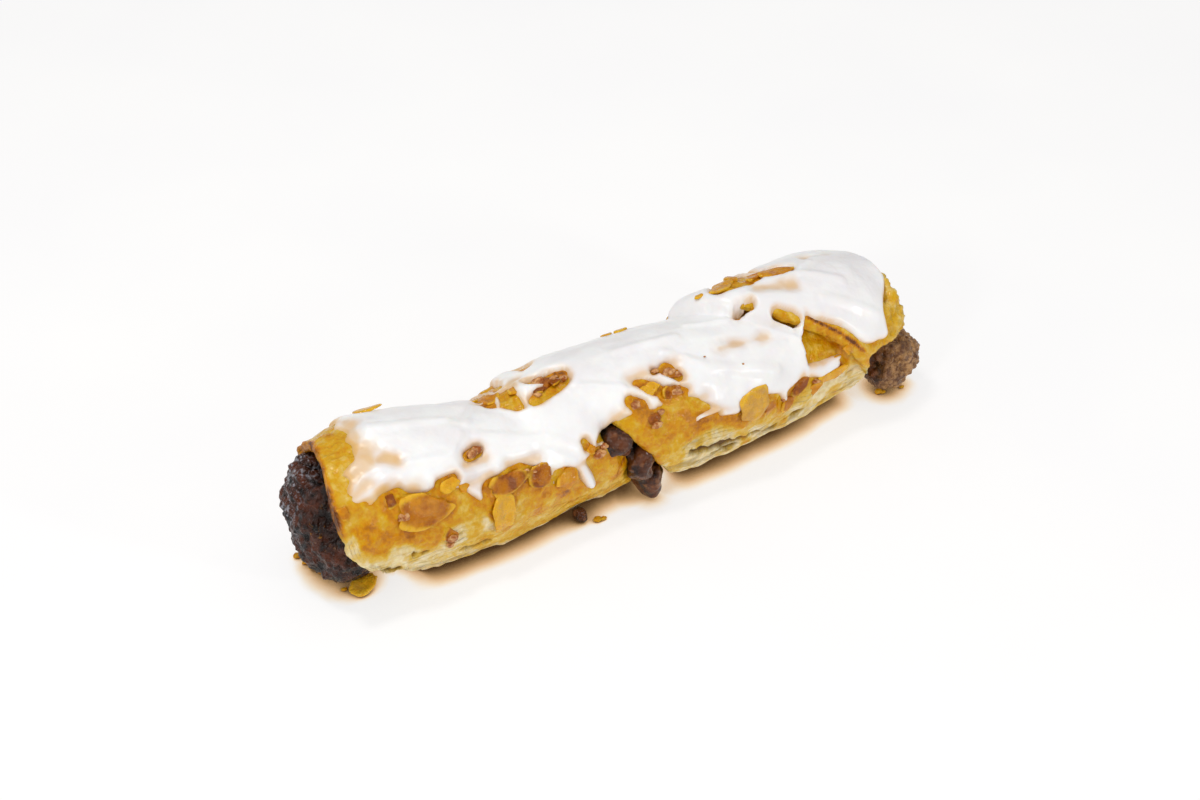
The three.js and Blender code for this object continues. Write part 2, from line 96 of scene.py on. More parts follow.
def through(*pairs):
    """A smooth curve through (place, value) pairs, level beyond its ends."""
    places, values = np.array(pairs, float).T
    slopes = np.diff(values) / np.diff(places)
    tangents = np.concatenate([slopes[:1], (slopes[:-1] + slopes[1:]) / 2, slopes[-1:]])

    def value_at(place):
        at = np.clip(np.asarray(place, float), places[0], places[-1])
        i = np.clip(np.searchsorted(places, at) - 1, 0, len(places) - 2)
        step = places[i + 1] - places[i]
        u = (at - places[i]) / step
        near = (2 * u**3 - 3 * u**2 + 1) * values[i] + (u**3 - 2 * u**2 + u) * step * tangents[i]
        far = (3 * u**2 - 2 * u**3) * values[i + 1] + (u**3 - u**2) * step * tangents[i + 1]
        return near + far

    return value_at


def grain(points, size, seed=0):
    """Smooth chance between -1 and 1 at an array of places, with lumps as wide as size."""
    scaled = np.asarray(points, float) / size
    cell = np.floor(scaled).astype(np.int64)
    part = scaled - cell
    part = part * part * (3 - 2 * part)
    total = np.zeros(scaled.shape[:-1])
    for corner in itertools.product((0, 1), repeat=3):
        at = cell + np.array(corner)
        code = np.bitwise_xor.reduce(at * HASH_PRIMES, axis=-1) ^ (seed + 1) * HASH_SEED
        code = (code ^ (code >> 13)) * HASH_SPREAD
        chance = ((code ^ (code >> 16)) & 0xFFFF) / 32767.5 - 1
        share = np.prod(np.where(corner, part, 1 - part), axis=-1)
        total += chance * share
    return total


def rough(points, size, octaves=3, seed=0):
    """Several sizes of chance added up, each half as wide and half as strong as the last."""
    return sum(grain(points, size / 2**i, seed + i) / 2**i for i in range(octaves))


print("surface for each degree:", round(ARC, 3), "mm")

# %% [markdown]
# ## The form of the twist
# The strip is followed by its turn, which counts 360 for each winding. One curve says where the lip runs,
# another how much of the winding below still shows in front of it, and two more give the height of a lap
# and how far it falls away to its far side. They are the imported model's own curves.

# %% Curves of the wound strip
middle_y = through((-98, 0), (15, 0), (50, 2.2), (98, 5.5))
middle_z = through((-98, 19), (0, 18.6), (50, 19), (98, 19))
lip_at = through(
    (-720, -104), (-330, -98), (-300, -84), (-270, -70), (-231, -56), (-180, -41), (-129, -22.5),
    (-85, -15.5), (-37, -7), (0, 2), (45, 12.5), (90, 19), (140, 25), (190, 30), (249, 36.5), (292, 50),
    (324, 64), (347, 71.8), (380, 79.5), (420, 86), (460, 92), (820, 104),
)
band_at = through(
    (-330, 8), (-231, 12), (-129, 14), (-90, 20), (-60, 14), (-30, 9), (0, 12), (45, 12), (90, 8), (180, 5),
    (290, 4), (460, 4),
)
crest_at = through(
    (-660, 22.5), (-489, 22.3), (-360, 22), (-200, 21), (-129, 20.8), (0, 21.3), (100, 20.5), (200, 22.6),
    (250, 23.8), (300, 23.6), (360, 22.5), (460, 21),
)
fall_at = through(
    (-660, 4), (-489, 6.8), (-400, 6), (-360, 5), (-200, 3), (-129, 2.6), (0, 3), (240, 3), (460, 3),
)
burnt_end_at = through(
    (-90, -66), (-60, -64), (-47, -64.5), (-35, -68.5), (-21, -75.5), (-8, -82.5), (4, -86.6), (22, -87.8),
    (42, -88), (68, -86.4), (90, -84.8), (107, -83.5), (180, -82), (235, -76), (270, -66),
)
open_end_at = through(
    (-90, 77.5), (-45, 77.5), (-20, 77), (0, 76.3), (12, 76), (16, 77.5), (18.5, 82), (20.5, 88), (25, 93),
    (32, 95.8), (40, 96), (50, 94.5), (60, 92.5), (75, 91.3), (90, 90.8), (110, 88.8), (140, 86.5), (200, 84),
    (235, 80), (270, 77.5),
)
filling_at = through(
    (-93, 3), (-92, 6.5), (-91, 9.2), (-90, 12), (-89, 14.4), (-87.5, 16), (-85.5, 17.2), (-83, 17.6),
    (-77, 16.6), (-70, 13.6), (-62, 11.6), (-50, 11.5), (60, 11.5), (70, 11.5), (78, 12), (84, 12.5),
    (89, 10.5), (92, 6),
)
REACH = 98.0
LIP_THICKNESS = 2.6
LOG_RADIUS = 18.2
CORE_RADIUS = 11.5
GAPE_DEPTH = 7.5
FOOT_FLATTENING = 0.6


def wrapped(around):
    return np.mod(np.asarray(around, float) - SEAM, 360) + SEAM


def near_foot(around):
    return bell(wrapped(around), -45, 35)


def log_radius(x, around):
    """The winding below: it shows as a band before each lip, and gapes at the front lap."""
    angle = wrapped(around)
    lip = lip_at(-angle)
    valley = 2.6 * bell(x, -36, 7) * bell(angle, 95, 60)
    shoulder = 0.9 * bell(x, -23, 8) * bell(angle, 100, 70)
    low = smooth(10, -40, angle)
    window = smooth(52, 28, angle) * smooth(-90, -75, angle)
    gape = GAPE_DEPTH * bell(x - lip, 0.5 - 3.5 * low, 5 + 2 * low) * window
    return LOG_RADIUS - valley + shoulder - gape - FOOT_FLATTENING * near_foot(angle)


def lap_end(turn):
    return np.minimum(lip_at(turn + 360) - band_at(turn + 360), REACH)


def lap_radius(x, turn):
    start = lip_at(turn)
    across = (x - start) / np.maximum(lap_end(turn) - start, 0.01)
    body = crest_at(turn) - fall_at(turn) * smooth(0.5, 1.12, across) - 2.5 * smooth(72, 92, x)
    nose = 1.6 * np.exp(-np.maximum(x - start, 0) / 1.6)
    burnt_taper = 2.2 * smooth(-70, -90, x) * bell(wrapped(-turn), 120, 75)
    return body - nose - burnt_taper - FOOT_FLATTENING * near_foot(-turn)


def outer_radius(x, around):
    radius = log_radius(x, around)
    for winding in (-360, 0, 360):
        turn = winding - wrapped(around)
        on_lap = (x >= lip_at(turn)) & (x <= lap_end(turn))
        radius = np.where(on_lap, np.maximum(radius, lap_radius(x, turn)), radius)
    return radius


def place(x, around, radius):
    """Points in the form's millimetres."""
    x, around, radius = np.broadcast_arrays(np.asarray(x, float), around, radius)
    angle = np.radians(around)
    return np.stack([x, middle_y(x) - radius * np.cos(angle), middle_z(x) + radius * np.sin(angle)], -1)


def find(points):
    """The way back: x, around and radius of points in the form's millimetres."""
    x = points[..., 0]
    side, rise = middle_y(x) - points[..., 1], points[..., 2] - middle_z(x)
    return x, wrapped(np.degrees(np.arctan2(rise, side))), np.hypot(side, rise)


def crust_relief(x, around):
    """Blisters and dents of the baked surface, in mm, the same wherever something lies on it."""
    spot = place(x, around, MEAN_RADIUS)
    return 0.38 * grain(spot, 8.0, 11) + 0.22 * grain(spot, 3.6, 12)


print("length of the form:", float(open_end_at(58) - burnt_end_at(42)), "mm")

# %% [markdown]
# ## A table of the ground
# Icing and almonds ask thousands of times how high the pastry is below them. It is quicker to work the
# height out once, on a grid, and read between its points. Icing also bridges the steps it flows over, so a
# second table leans towards the highest ground close by.

# %% Height tables
TABLE_STEP = 0.5  # mm along the twist
TABLE_TURN = 1.25  # degrees round it
TABLE_X = np.arange(-REACH, REACH + 0.01, TABLE_STEP)
TABLE_AROUND = np.arange(SEAM, SEAM + 360, TABLE_TURN)
ground_table = outer_radius(TABLE_X[:, None], TABLE_AROUND[None, :])


def bridged(table, reach, sharpness):
    """Leans towards the highest neighbours within reach (in table steps)."""
    lifted = np.exp(sharpness * (table - MEAN_RADIUS))
    total = np.zeros_like(table)
    steps = [(i, j) for i in range(-reach, reach + 1) for j in range(-reach, reach + 1)
             if i * i + j * j <= reach * reach + 1]
    for i, j in steps:
        rows = np.clip(np.arange(len(TABLE_X)) + i, 0, len(TABLE_X) - 1)
        total += np.roll(lifted[rows], j, axis=1)
    return MEAN_RADIUS + np.log(total / len(steps)) / sharpness


seat_table = bridged(ground_table, 5, 1.8)


def read(table, x, around):
    row = np.clip((np.asarray(x, float) - TABLE_X[0]) / TABLE_STEP, 0, len(TABLE_X) - 1.001)
    column = (wrapped(around) - SEAM) / TABLE_TURN
    i, j = np.floor(row).astype(int), np.floor(column).astype(int)
    u, v = row - i, column - j
    count = len(TABLE_AROUND)
    near = mix(table[i, j % count], table[i + 1, j % count], u)
    far = mix(table[i, (j + 1) % count], table[i + 1, (j + 1) % count], u)
    return mix(near, far, v)


print("ground table:", ground_table.shape, "highest", round(float(ground_table.max()), 1), "mm")

# %% [markdown]
# ## Modelling helpers
# Every rolled piece starts as Blender's flat grid. Its points are moved to where the curves say, the seam is
# merged and the ends are filled, which leaves one closed skin. Modifiers are applied at once, so that what
# is stored is plain mesh.

# %% Helpers for meshes
MERGE_WITHIN = 0.002  # mm
LUMP_BUMPS = 0.35  # of a lump's radius


def pick(piece):
    bpy.ops.object.select_all(action="DESELECT")
    piece.select_set(True)
    bpy.context.view_layer.objects.active = piece


def points_of(piece):
    flat = np.empty(3 * len(piece.data.vertices))
    piece.data.vertices.foreach_get("co", flat)
    return flat.reshape(-1, 3) / MM + FORM_ZERO


def move_points(piece, points):
    piece.data.vertices.foreach_set("co", ((points - FORM_ZERO) * MM).ravel())
    piece.data.update()


def normals_of(piece):
    flat = np.empty(3 * len(piece.data.vertices))
    piece.data.vertices.foreach_get("normal", flat)
    return flat.reshape(-1, 3)


def tidy_skin(piece, fill=True):
    """Merges doubles, fills open ends and turns the faces outwards."""
    pick(piece)
    bpy.ops.object.mode_set(mode="EDIT")
    bpy.ops.mesh.select_all(action="SELECT")
    bpy.ops.mesh.remove_doubles(threshold=MERGE_WITHIN * MM)
    if fill:
        bpy.ops.mesh.fill_holes(sides=0)
    bpy.ops.mesh.select_all(action="SELECT")
    bpy.ops.mesh.normals_make_consistent(inside=False)
    bpy.ops.object.mode_set(mode="OBJECT")


def grid_sheet(name, columns, rows, points_at):
    """A flat grid whose points are moved to points_at(column, row), as index arrays."""
    bpy.ops.object.select_all(action="DESELECT")
    bpy.ops.mesh.primitive_grid_add(x_subdivisions=columns, y_subdivisions=rows, size=2)
    piece = bpy.context.object
    piece.name = piece.data.name = name
    flat = np.empty(3 * len(piece.data.vertices))
    piece.data.vertices.foreach_get("co", flat)
    flat = flat.reshape(-1, 3)
    column = np.rint((flat[:, 0] + 1) / 2 * columns).astype(int)
    row = np.rint((flat[:, 1] + 1) / 2 * rows).astype(int)
    move_points(piece, points_at(column, row))
    return piece


def rolled(name, columns, rows, points_at):
    piece = grid_sheet(name, columns, rows, points_at)
    tidy_skin(piece)
    return piece


def ball(subdivisions):
    """Blender's ico sphere, and the direction of each of its points."""
    bpy.ops.object.select_all(action="DESELECT")
    bpy.ops.mesh.primitive_ico_sphere_add(subdivisions=subdivisions, radius=1)
    piece = bpy.context.object
    return piece, (points_of(piece) - FORM_ZERO) * MM


def lump(subdivisions, shift, width, seed, squash):
    """A ball with bumps about as wide as width, and the places of its points about its middle."""
    piece, unit = ball(subdivisions)
    bumps = LUMP_BUMPS * rough(unit + shift, width, 2, seed)
    return piece, unit * (1 + bumps)[:, None] * squash


def apply_modifier(piece, kind, **settings):
    pick(piece)
    modifier = piece.modifiers.new(kind, kind)
    for key, value in settings.items():
        setattr(modifier, key, value)
    bpy.ops.object.modifier_apply(modifier=modifier.name)


def cut_with(piece, tool, operation):
    apply_modifier(piece, "BOOLEAN", object=tool, operation=operation, solver="MANIFOLD")
    bpy.data.objects.remove(tool)


def joined(name, pieces):
    bpy.ops.object.select_all(action="DESELECT")
    for piece in pieces:
        piece.select_set(True)
    bpy.context.view_layer.objects.active = pieces[0]
    bpy.ops.object.join()
    pieces[0].name = pieces[0].data.name = name
    return pieces[0]


def mark(piece, name, values):
    """Stores one number for each point, for the material to read."""
    layer = piece.data.attributes.new(name, "FLOAT", "POINT")
    layer.data.foreach_set("value", np.asarray(values, np.float32).ravel())


def triangles(piece):
    return sum(len(face.vertices) - 2 for face in piece.data.polygons)


def hand_over(piece, material, slot, *nodes):
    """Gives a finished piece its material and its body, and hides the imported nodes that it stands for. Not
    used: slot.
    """
    pick(piece)
    bpy.ops.object.shade_smooth()
    piece.data.materials.clear()
    piece.data.materials.append(material)
    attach(piece, "root")
    if nodes:
        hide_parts(*nodes)
    print(piece.name + ":", triangles(piece), "triangles")


# %% [markdown]
# ## Strokes
# Glaze, icing and cracks all follow strokes on the surface: from one place to another, with a half width
# that changes on the way. A stroke answers how far inside it a place lies, in millimetres.

# %% Strokes on the surface
def inside_stroke(x, around, stroke):
    (x0, a0), (x1, a1), start_half, end_half = stroke
    run, rise = x1 - x0, (a1 - a0) * ARC
    dx, ds = x - x0, (around - a0) * ARC
    part = np.clip((dx * run + ds * rise) / (run * run + rise * rise), 0, 1)
    return mix(start_half, end_half, part) - np.hypot(dx - part * run, ds - part * rise)


def inside_any(x, around, strokes):
    best = np.full(np.shape(x), -99.0)
    for stroke in strokes:
        best = np.maximum(best, inside_stroke(x, around, stroke))
    return best


print("inside, halfway along a stroke 4 mm wide at one end and 2 at the other:",
      float(inside_stroke(0.0, 0.0, ((-5, 0), (5, 0), 2.0, 1.0))), "mm")

# %% [markdown]
# ## Materials: colours and nodes
# Colours are written as the sRGB hex values that an eye would name, and one function turns them to the
# linear numbers that the shader wants. Another adds a node with its settings and its links. Patches of
# noise come up in every finish, so they have a function too, and so has a stored number that patches break
# up: an oven, a brush and a spoon leave nothing even.

# %% Colour and node helpers
def linear(hex_colour):
    channels = [int(hex_colour[i : i + 2], 16) / 255 for i in (1, 3, 5)]
    return [c / 12.92 if c <= 0.04045 else ((c + 0.055) / 1.055) ** 2.4 for c in channels] + [1.0]


def add(material, kind, inputs, output=0, tones=(), **settings):
    """Adds a node, sets or links its inputs, fills its colour ramp with tones and gives back an output."""
    tree = material.node_tree
    node = tree.nodes.new("ShaderNode" + kind)
    for key, value in settings.items():
        setattr(node, key, value)
    for key, value in inputs.items():
        if isinstance(value, bpy.types.NodeSocket):
            tree.links.new(value, node.inputs[key])
        else:
            node.inputs[key].default_value = linear(value) if isinstance(value, str) else value
    for position, _ in tones[1:-1]:
        node.color_ramp.elements.new(position)
    for number, (position, hex_colour) in enumerate(tones):
        tone = node.color_ramp.elements[number]
        tone.position, tone.color = position, linear(hex_colour)
    return node.outputs[output] if len(node.outputs) else None


# Of a Mix node, input 0 is the share, inputs 6 and 7 are the two colours and output 2 is the blend of them.
BLEND = {"output": 2, "data_type": "RGBA"}


def new_material(name):
    material = bpy.data.materials.new(name)
    material.use_nodes = True
    material.node_tree.nodes.clear()
    return material


def mottled(material, size_mm, low=0.35, high=0.65, most=1.0, detail=3.0, stretch=(1, 1, 1), swirl=0.0):
    """Patches about size_mm wide, between 0 and most."""
    where = add(material, "TexCoord", {}, output="Object")
    scale = [s / (size_mm * MM) for s in stretch]
    where = add(material, "Mapping", {"Vector": where, "Scale": scale})
    settings = {"Vector": where, "Scale": 1.0, "Detail": detail, "Distortion": swirl}
    noise = add(material, "TexNoise", settings)
    return add(material, "MapRange", {"Value": noise, "From Min": low, "From Max": high, "To Max": most})


def broken_up(material, name, *size_and_range, operation="MULTIPLY", **settings):
    """A number stored on the points, times patches, or with patches added to it."""
    stored = add(material, "Attribute", {}, "Fac", attribute_name=name)
    patches = mottled(material, *size_and_range, **settings)
    return add(material, "Math", {0: stored, 1: patches}, operation=operation)


print("linear white and mid grey:", linear("#FFFFFF")[0], round(linear("#808080")[0], 3))

# %% [markdown]
# ## Camera
# The photo looks down at about 36 degrees, from 31 degrees to the left of square on, through a long lens.
# The lens follows from how many pixels a millimetre takes at the twist's middle, and the shift from where
# that middle lies in the picture, so nothing has to be tried out.

# %% Camera
VIEW_AZIMUTH, VIEW_ELEVATION, VIEW_DISTANCE = 31.0, 36.0, 600.0
AIM = np.array([0.0, 0.0, 20.0])
PHOTO_WIDTH, PHOTO_HEIGHT = 1200, 800
AIM_PIXEL = (606, 416)
PIXELS_PER_MM = 3.66

azimuth, elevation = math.radians(VIEW_AZIMUTH), math.radians(VIEW_ELEVATION)
backwards = np.array([
    -math.sin(azimuth) * math.cos(elevation), -math.cos(azimuth) * math.cos(elevation), math.sin(elevation)])
lens = bpy.data.cameras.new("camera")
lens.sensor_width = 36
lens.lens = PIXELS_PER_MM * VIEW_DISTANCE / PHOTO_WIDTH * lens.sensor_width
lens.shift_x = (PHOTO_WIDTH / 2 - AIM_PIXEL[0]) / PHOTO_WIDTH
lens.shift_y = (AIM_PIXEL[1] - PHOTO_HEIGHT / 2) / PHOTO_WIDTH
camera = bpy.data.objects.new("camera", lens)
bpy.context.scene.collection.objects.link(camera)
camera.location = Vector((AIM - FORM_ZERO + backwards * VIEW_DISTANCE) * MM)
camera.rotation_euler = Vector(backwards).to_track_quat("Z", "Y").to_euler()
bpy.context.scene.camera = camera
print("lens:", round(lens.lens, 1), "mm")

# %% [markdown]
# ## Floor
# A pale matt sheet that glows: its emission is painted light, which keeps the sheet white and shadows short.
# Close to the twist a painted shadow turns it peach and then brown in a thin line. Ambient occlusion finds
# how near the twist is, and a colour ramp gives the line its tones, in the sheet's colour and in its glow.

# %% Floor
FLOOR_SIZE = 4.0  # metres, so that its edges stay far out of the picture
PAINTED_SHADOW_REACH = 7.0  # mm
PAINTED_SHADOW_TONES = [
    (0.22, "#4A3019"), (0.36, "#A9875A"), (0.5, "#E2B685"), (0.66, "#FDE6C4"), (0.84, "#FFFFFF")]

bpy.ops.object.select_all(action="DESELECT")
bpy.ops.mesh.primitive_plane_add(size=FLOOR_SIZE)
floor = bpy.context.object
floor.name = "floor"
sheet = new_material("white_sheet_painted_glow_and_shadow")
# Painted shadow: the nearer the twist, the darker the tone from the ramp, in the sheet's colour and in its
# glow.
near = add(sheet, "AmbientOcclusion", {"Distance": PAINTED_SHADOW_REACH * MM}, output=1, samples=12)
painted_shadow = add(sheet, "ValToRGB", {"Fac": near}, tones=PAINTED_SHADOW_TONES)
paper = add(sheet, "Mix", {0: mottled(sheet, 90), 6: "#969492", 7: "#929090"}, **BLEND)
paper = add(sheet, "Mix", {0: 1.0, 6: paper, 7: painted_shadow}, **BLEND, blend_type="MULTIPLY")
# The emission is painted light: the sheet glows, so that it stays white and its shadows stay short.
surface = add(sheet, "BsdfPrincipled", {
    "Base Color": paper, "Roughness": 0.9, "Specular IOR Level": 0.1, "Emission Color": painted_shadow,
    "Emission Strength": 0.72})
add(sheet, "OutputMaterial", {"Surface": surface})
floor.data.materials.append(sheet)
print("floor:", FLOOR_SIZE, "m wide")

# %% [markdown]
# ## Light
# A photographer's tent, brightest overhead: the world is white and its strength grows with height. Three
# soft boxes stand round it. One hangs above, one fills from the left and a smaller one in front gives the
# sparkle on glaze and icing.

# %% Light
world = bpy.data.worlds.new("light_tent")
bpy.context.scene.world = world
world.use_nodes = True
overhead = add(world, "SeparateXYZ", {"Vector": add(world, "TexCoord", {}, output="Generated")}, output="Z")
tent = add(world, "MapRange", {"Value": overhead, "To Min": 0.2, "To Max": 0.7})
world.node_tree.links.new(tent, world.node_tree.nodes["Background"].inputs["Strength"])
world.node_tree.nodes["Background"].inputs["Color"].default_value = linear("#FFFFFF")


def soft_box(name, place_mm, size_mm, watts):
    light = bpy.data.lights.new(name, "AREA")
    light.size = size_mm * MM
    light.energy = watts
    lamp = bpy.data.objects.new(name, light)
    bpy.context.scene.collection.objects.link(lamp)
    lamp.location = Vector(place_mm) * MM
    lamp.rotation_euler = Vector(place_mm).to_track_quat("Z", "Y").to_euler()


soft_box("key_above", (-150, 60, 640), 90, 1.1)
soft_box("fill_left", (-420, -260, 330), 90, 0.7)
soft_box("sparkle_front", (260, -560, 210), 56, 0.8)
bpy.context.scene.view_settings.view_transform = "Standard"

# %% [markdown]
# ## Where the almonds lie
# Twelve slices are whole enough to pick out one by one, and smaller flakes lie between them. The glaze
# stands in a darker pool round each of them, so the crust needs their places too.

# %% Places of the almonds
# Place, size and turn; lift; breaks as (direction, distance); toast from 0 pale to 1 dark amber.
LARGE_SLICES = [
    (-66, 24.5, 16.5, 9, -8, 0.6, [(60, 4.0), (175, 7.0)], 0.72),
    (-44.5, 2, 14, 8, 78, 0.5, [(20, 5.6), (110, 3.0), (200, 5.0)], 0.2),
    (-41.5, 23, 12, 6, 6, 0.4, [(80, 2.4), (190, 5.0)], 0.85),
    (-31.5, 18, 8.5, 7, 50, 0.3, [(200, 3.2), (300, 3.0)], 0.85),
    (-23.5, 6, 9, 6.5, 70, 0.1, [(40, 3.2), (160, 3.0), (250, 3.0)], 0.5),
    (34.5, 12, 13, 9.5, 25, 1.1, [(75, 4.4), (160, 4.4), (225, 4.2), (330, 5.0)], 0.05),
    (63.5, 5, 12, 5, 12, 0.5, [(250, 1.8), (80, 1.8)], 0.35),
    (52, 9, 8, 4.5, 35, 0.0, [(100, 1.8)], 0.85),
    (-33, 112, 10, 6, 70, -0.3, [(0, 3.6), (120, 2.6)], 0.6),
    (-20, 90, 9, 6, 20, -0.3, [(180, 3.8), (280, 2.4)], 0.9),
    (44, 113, 11, 6, 15, 0.3, [(120, 2.4), (0, 4.6)], 0.45),
    (59.5, 99.5, 11, 5.4, -12, 0.3, [(90, 2.4), (180, 4.8)], 0.6),
]
# Place, size and turn; lift; toast.
SMALL_FLAKES = [
    (-86, 40, 4.5, 4, 20, 0, 0.7), (-57, 35, 6.5, 3.4, 12, 0, 0.3), (-59.5, 0, 6, 4.5, 80, 0, 0.75),
    (-73.5, 38, 5, 4, 30, 0, 0.85), (-27, 96, 6, 4, 60, 0, 0.5), (-15, 24, 4, 3, 80, 0, 0.6),
    (0.5, 44, 5, 4, 100, 0, 0.7), (5.5, 51, 8.5, 4, 145, 0.3, 0.3), (11, 43, 6, 5, 0, 0, 0.8),
    (13.5, 56, 6, 4, 120, 0, 0.8), (3.5, 31, 5, 4.5, 30, 0, 0.9), (57, -1, 7, 4, 30, 0, 0.5),
    (47, 1, 7, 3.5, 70, 0, 0.7), (66, 14, 5, 4, 40, 0, 0.3), (-54, 30, 6, 3, -30, 0, 0.5),
    (-37, 20, 5, 3, 70, 0, 0.8), (40, 4, 6, 3.5, 20, 0, 0.7), (68, 24, 4, 3, 10, 0, 0.5),
    (-66, 124, 11, 6, -4, 1.2, 0.2), (8, 126, 5, 3, -10, 1.5, 0.4), (12.5, 124, 6, 3, 20, 1.6, 0.4),
    (-22, 84, 7, 2.2, -10, 0.2, 1.0), (-17, 87, 8, 2.4, 12, 0.2, 1.0), (-36, 128, 7, 4, 30, 0, 0.5),
    (36.5, 113, 4, 3, 0, 0.4, 0.4), (49, 117, 6, 4, 40, 0.4, 0.5), (54, 106, 6, 4, 10, 0.3, 0.7),
    (-48, 50, 4.6, 2.6, 20, -0.2, 0.9), (48, 84, 3, 1.5, 0, 0.2, 0.8),
]


def seat_stroke(x, around, length, width, turned, *rest):
    """A stroke along a slice, a little wider than the slice."""
    reach = 0.35 * length
    dx = reach * math.cos(math.radians(turned))
    da = reach * math.sin(math.radians(turned)) / ARC
    return (x - dx, around - da), (x + dx, around + da), 0.45 * width + 0.3, 0.45 * width + 0.3


ALMOND_SEATS = [seat_stroke(*row) for row in LARGE_SLICES + SMALL_FLAKES]
print("almonds:", len(LARGE_SLICES), "large slices,", len(SMALL_FLAKES), "small flakes")

# %% [markdown]
# ## The pastry
# Two skins make the body: a log for the winding below and one swept lap for the winding above. Joined and
# remeshed with small voxels they become a single skin, with the lip standing clear of the log where it
# gapes. A trimming block gives the slanting ends and the flat base.

# %% Log and lap
LOG_COLUMNS, LOG_ROWS = 160, 120
FIRST_TURN, LAST_TURN, TURN_STEPS = -650.0, 450.0, 460
TOP_STEPS = 44


def log_points(column, row):
    x, around = -REACH + 2 * REACH * column / LOG_COLUMNS, 360 * row / LOG_ROWS
    return place(x, around, log_radius(x, around))


def lap_sections():
    """For each turn, the closed outline of the lap as x and radius."""
    turns = np.linspace(FIRST_TURN, LAST_TURN, TURN_STEPS + 1)[:, None]
    start, end = lip_at(turns), lap_end(turns)
    across = np.linspace(0.0, 1.0, TOP_STEPS) ** 1.35
    top_x = start + np.maximum(across, 0.006) * (end - start)
    top_r = lap_radius(top_x, turns)
    lip_top = lap_radius(start + 1, turns)
    foot, core = lip_top - LIP_THICKNESS, CORE_RADIUS + 0 * end
    under = [
        (end + 0.8, lap_radius(end, turns) - 1.6), (end + 0.5, core), (np.minimum(start + 8, end), core),
        (np.minimum(start + 5, end - 0.5), foot - 0.8), (start + 2.6, foot - 0.4), (start + 0.4, foot),
        (start - 0.3, foot + 0.7), (start - 0.5, lip_top - 0.4 * LIP_THICKNESS)]
    under_x, under_r = zip(*under)
    return turns, np.hstack([top_x, *under_x]), np.hstack([top_r, *under_r])


lap_turns, lap_x, lap_r = lap_sections()
section_steps = lap_x.shape[1]


def lap_points(column, row):
    row = row % section_steps
    return place(lap_x[column, row], -lap_turns[column, 0], lap_r[column, row])


log = rolled("log", LOG_COLUMNS, LOG_ROWS, log_points)
lap = rolled("lap", TURN_STEPS, section_steps, lap_points)
print("log and lap:", triangles(log), triangles(lap), "triangles")


# %% Trim the ends, flatten the base and open the hollow ends
BLOCK_RADII = np.array([3.0, 9.0, 13.5, 18.0, 23.0, 30.0, 36.0])
BLOCK_ROWS = 96
BLOCK_HEIGHT = 19.0  # of its axis above the tray
PLUG_COLUMNS, PLUG_ROWS = 20, 64
PLUG_CLEARANCE = 0.2  # between the pastry and the filling in its hollow
VOXEL = 0.6


def block_points(column, row):
    radii = np.concatenate([BLOCK_RADII, BLOCK_RADII[::-1]])[column]
    around = 360 * row / BLOCK_ROWS
    quarters = np.array([-90, 0, 90, 180])
    burnt = column < len(BLOCK_RADII)
    ends = np.where(burnt, burnt_end_at(wrapped(around)), open_end_at(wrapped(around)))
    middle = np.where(burnt, burnt_end_at(quarters).mean(), open_end_at(quarters).mean())
    angle = np.radians(around)
    z = np.maximum(BLOCK_HEIGHT + radii * np.sin(angle), 0)
    return np.stack([mix(middle, ends, smooth(6, 18, radii)), -radii * np.cos(angle), z], -1)


def plug(first, last):
    def points_at(column, row):
        x = first + (last - first) * column / PLUG_COLUMNS
        return place(x, 360 * row / PLUG_ROWS, filling_at(x) + PLUG_CLEARANCE)

    return rolled("plug", PLUG_COLUMNS, PLUG_ROWS, points_at)


pastry = joined("pastry_crust", [log, lap])
apply_modifier(pastry, "REMESH", mode="VOXEL", voxel_size=VOXEL * MM)
cut_with(pastry, rolled("block", 2 * len(BLOCK_RADII) - 1, BLOCK_ROWS, block_points), "INTERSECT")
cut_with(pastry, plug(-100, -62), "DIFFERENCE")
cut_with(pastry, plug(74, 100), "DIFFERENCE")
apply_modifier(pastry, "REMESH", mode="VOXEL", voxel_size=VOXEL * MM)
apply_modifier(pastry, "SMOOTH", factor=0.5, iterations=2)
print("pastry body:", triangles(pastry), "triangles")

# %% [markdown]
# Now the baked surface. Where the glaze brush reached, the crust is golden and blistered. Below it, towards
# the tray, the leaves of the dough show pale and flaky, with a few deep cracks. Cut ends and the lip show
# the same leaves edge-on. One number, the bake, runs from 0 for pale dough to 1 for scorched crust. It is
# stored on the points, so that the colour follows the relief.

# %% Where the crust is glazed, amber, cracked or flaky
glaze_line = through(
    (-90, 14), (-84, 4), (-79, 0), (-75, 4), (-71, 0), (-66, -7), (-60, 2), (-56, 6), (-50, 6), (-45, -14),
    (-38, -20), (-30, -26), (-20, -34), (-8, -40), (2, -34), (7, -10), (13, 2), (21, 5), (26, 0), (31, -6),
    (37, -10), (44, -14), (49, -4), (55, 4), (61, 2), (68, 2), (76, 0), (90, 8),
)
AMBER_STROKES = [
    ((-85, 20), (-76, 10), 2.6, 4.2), ((-76, 12), (-66, 6), 4.0, 3.0), ((-64, 2), (-58, 4), 2.2, 2.0),
    ((-60, 0), (-61, -26), 1.9, 0.8), ((-50, 20), (-30, 24), 3.4, 4.0), ((-30, 2), (-38, -36), 2.2, 1.4),
    ((-26, -6), (-14, -14), 1.6, 1.4), ((-45, 6), (-43, -14), 3.4, 1.8), ((4, 28), (12, 22), 2.0, 2.0),
    ((5, 14), (16, 13), 1.6, 1.0), ((-4, 2), (-8, -20), 1.4, 0.8), ((8, 24), (24, 14), 3.0, 2.6),
    ((14, 8), (20, 8), 2.0, 1.4), ((-8, 14), (-16, 4), 2.4, 2.0),
]
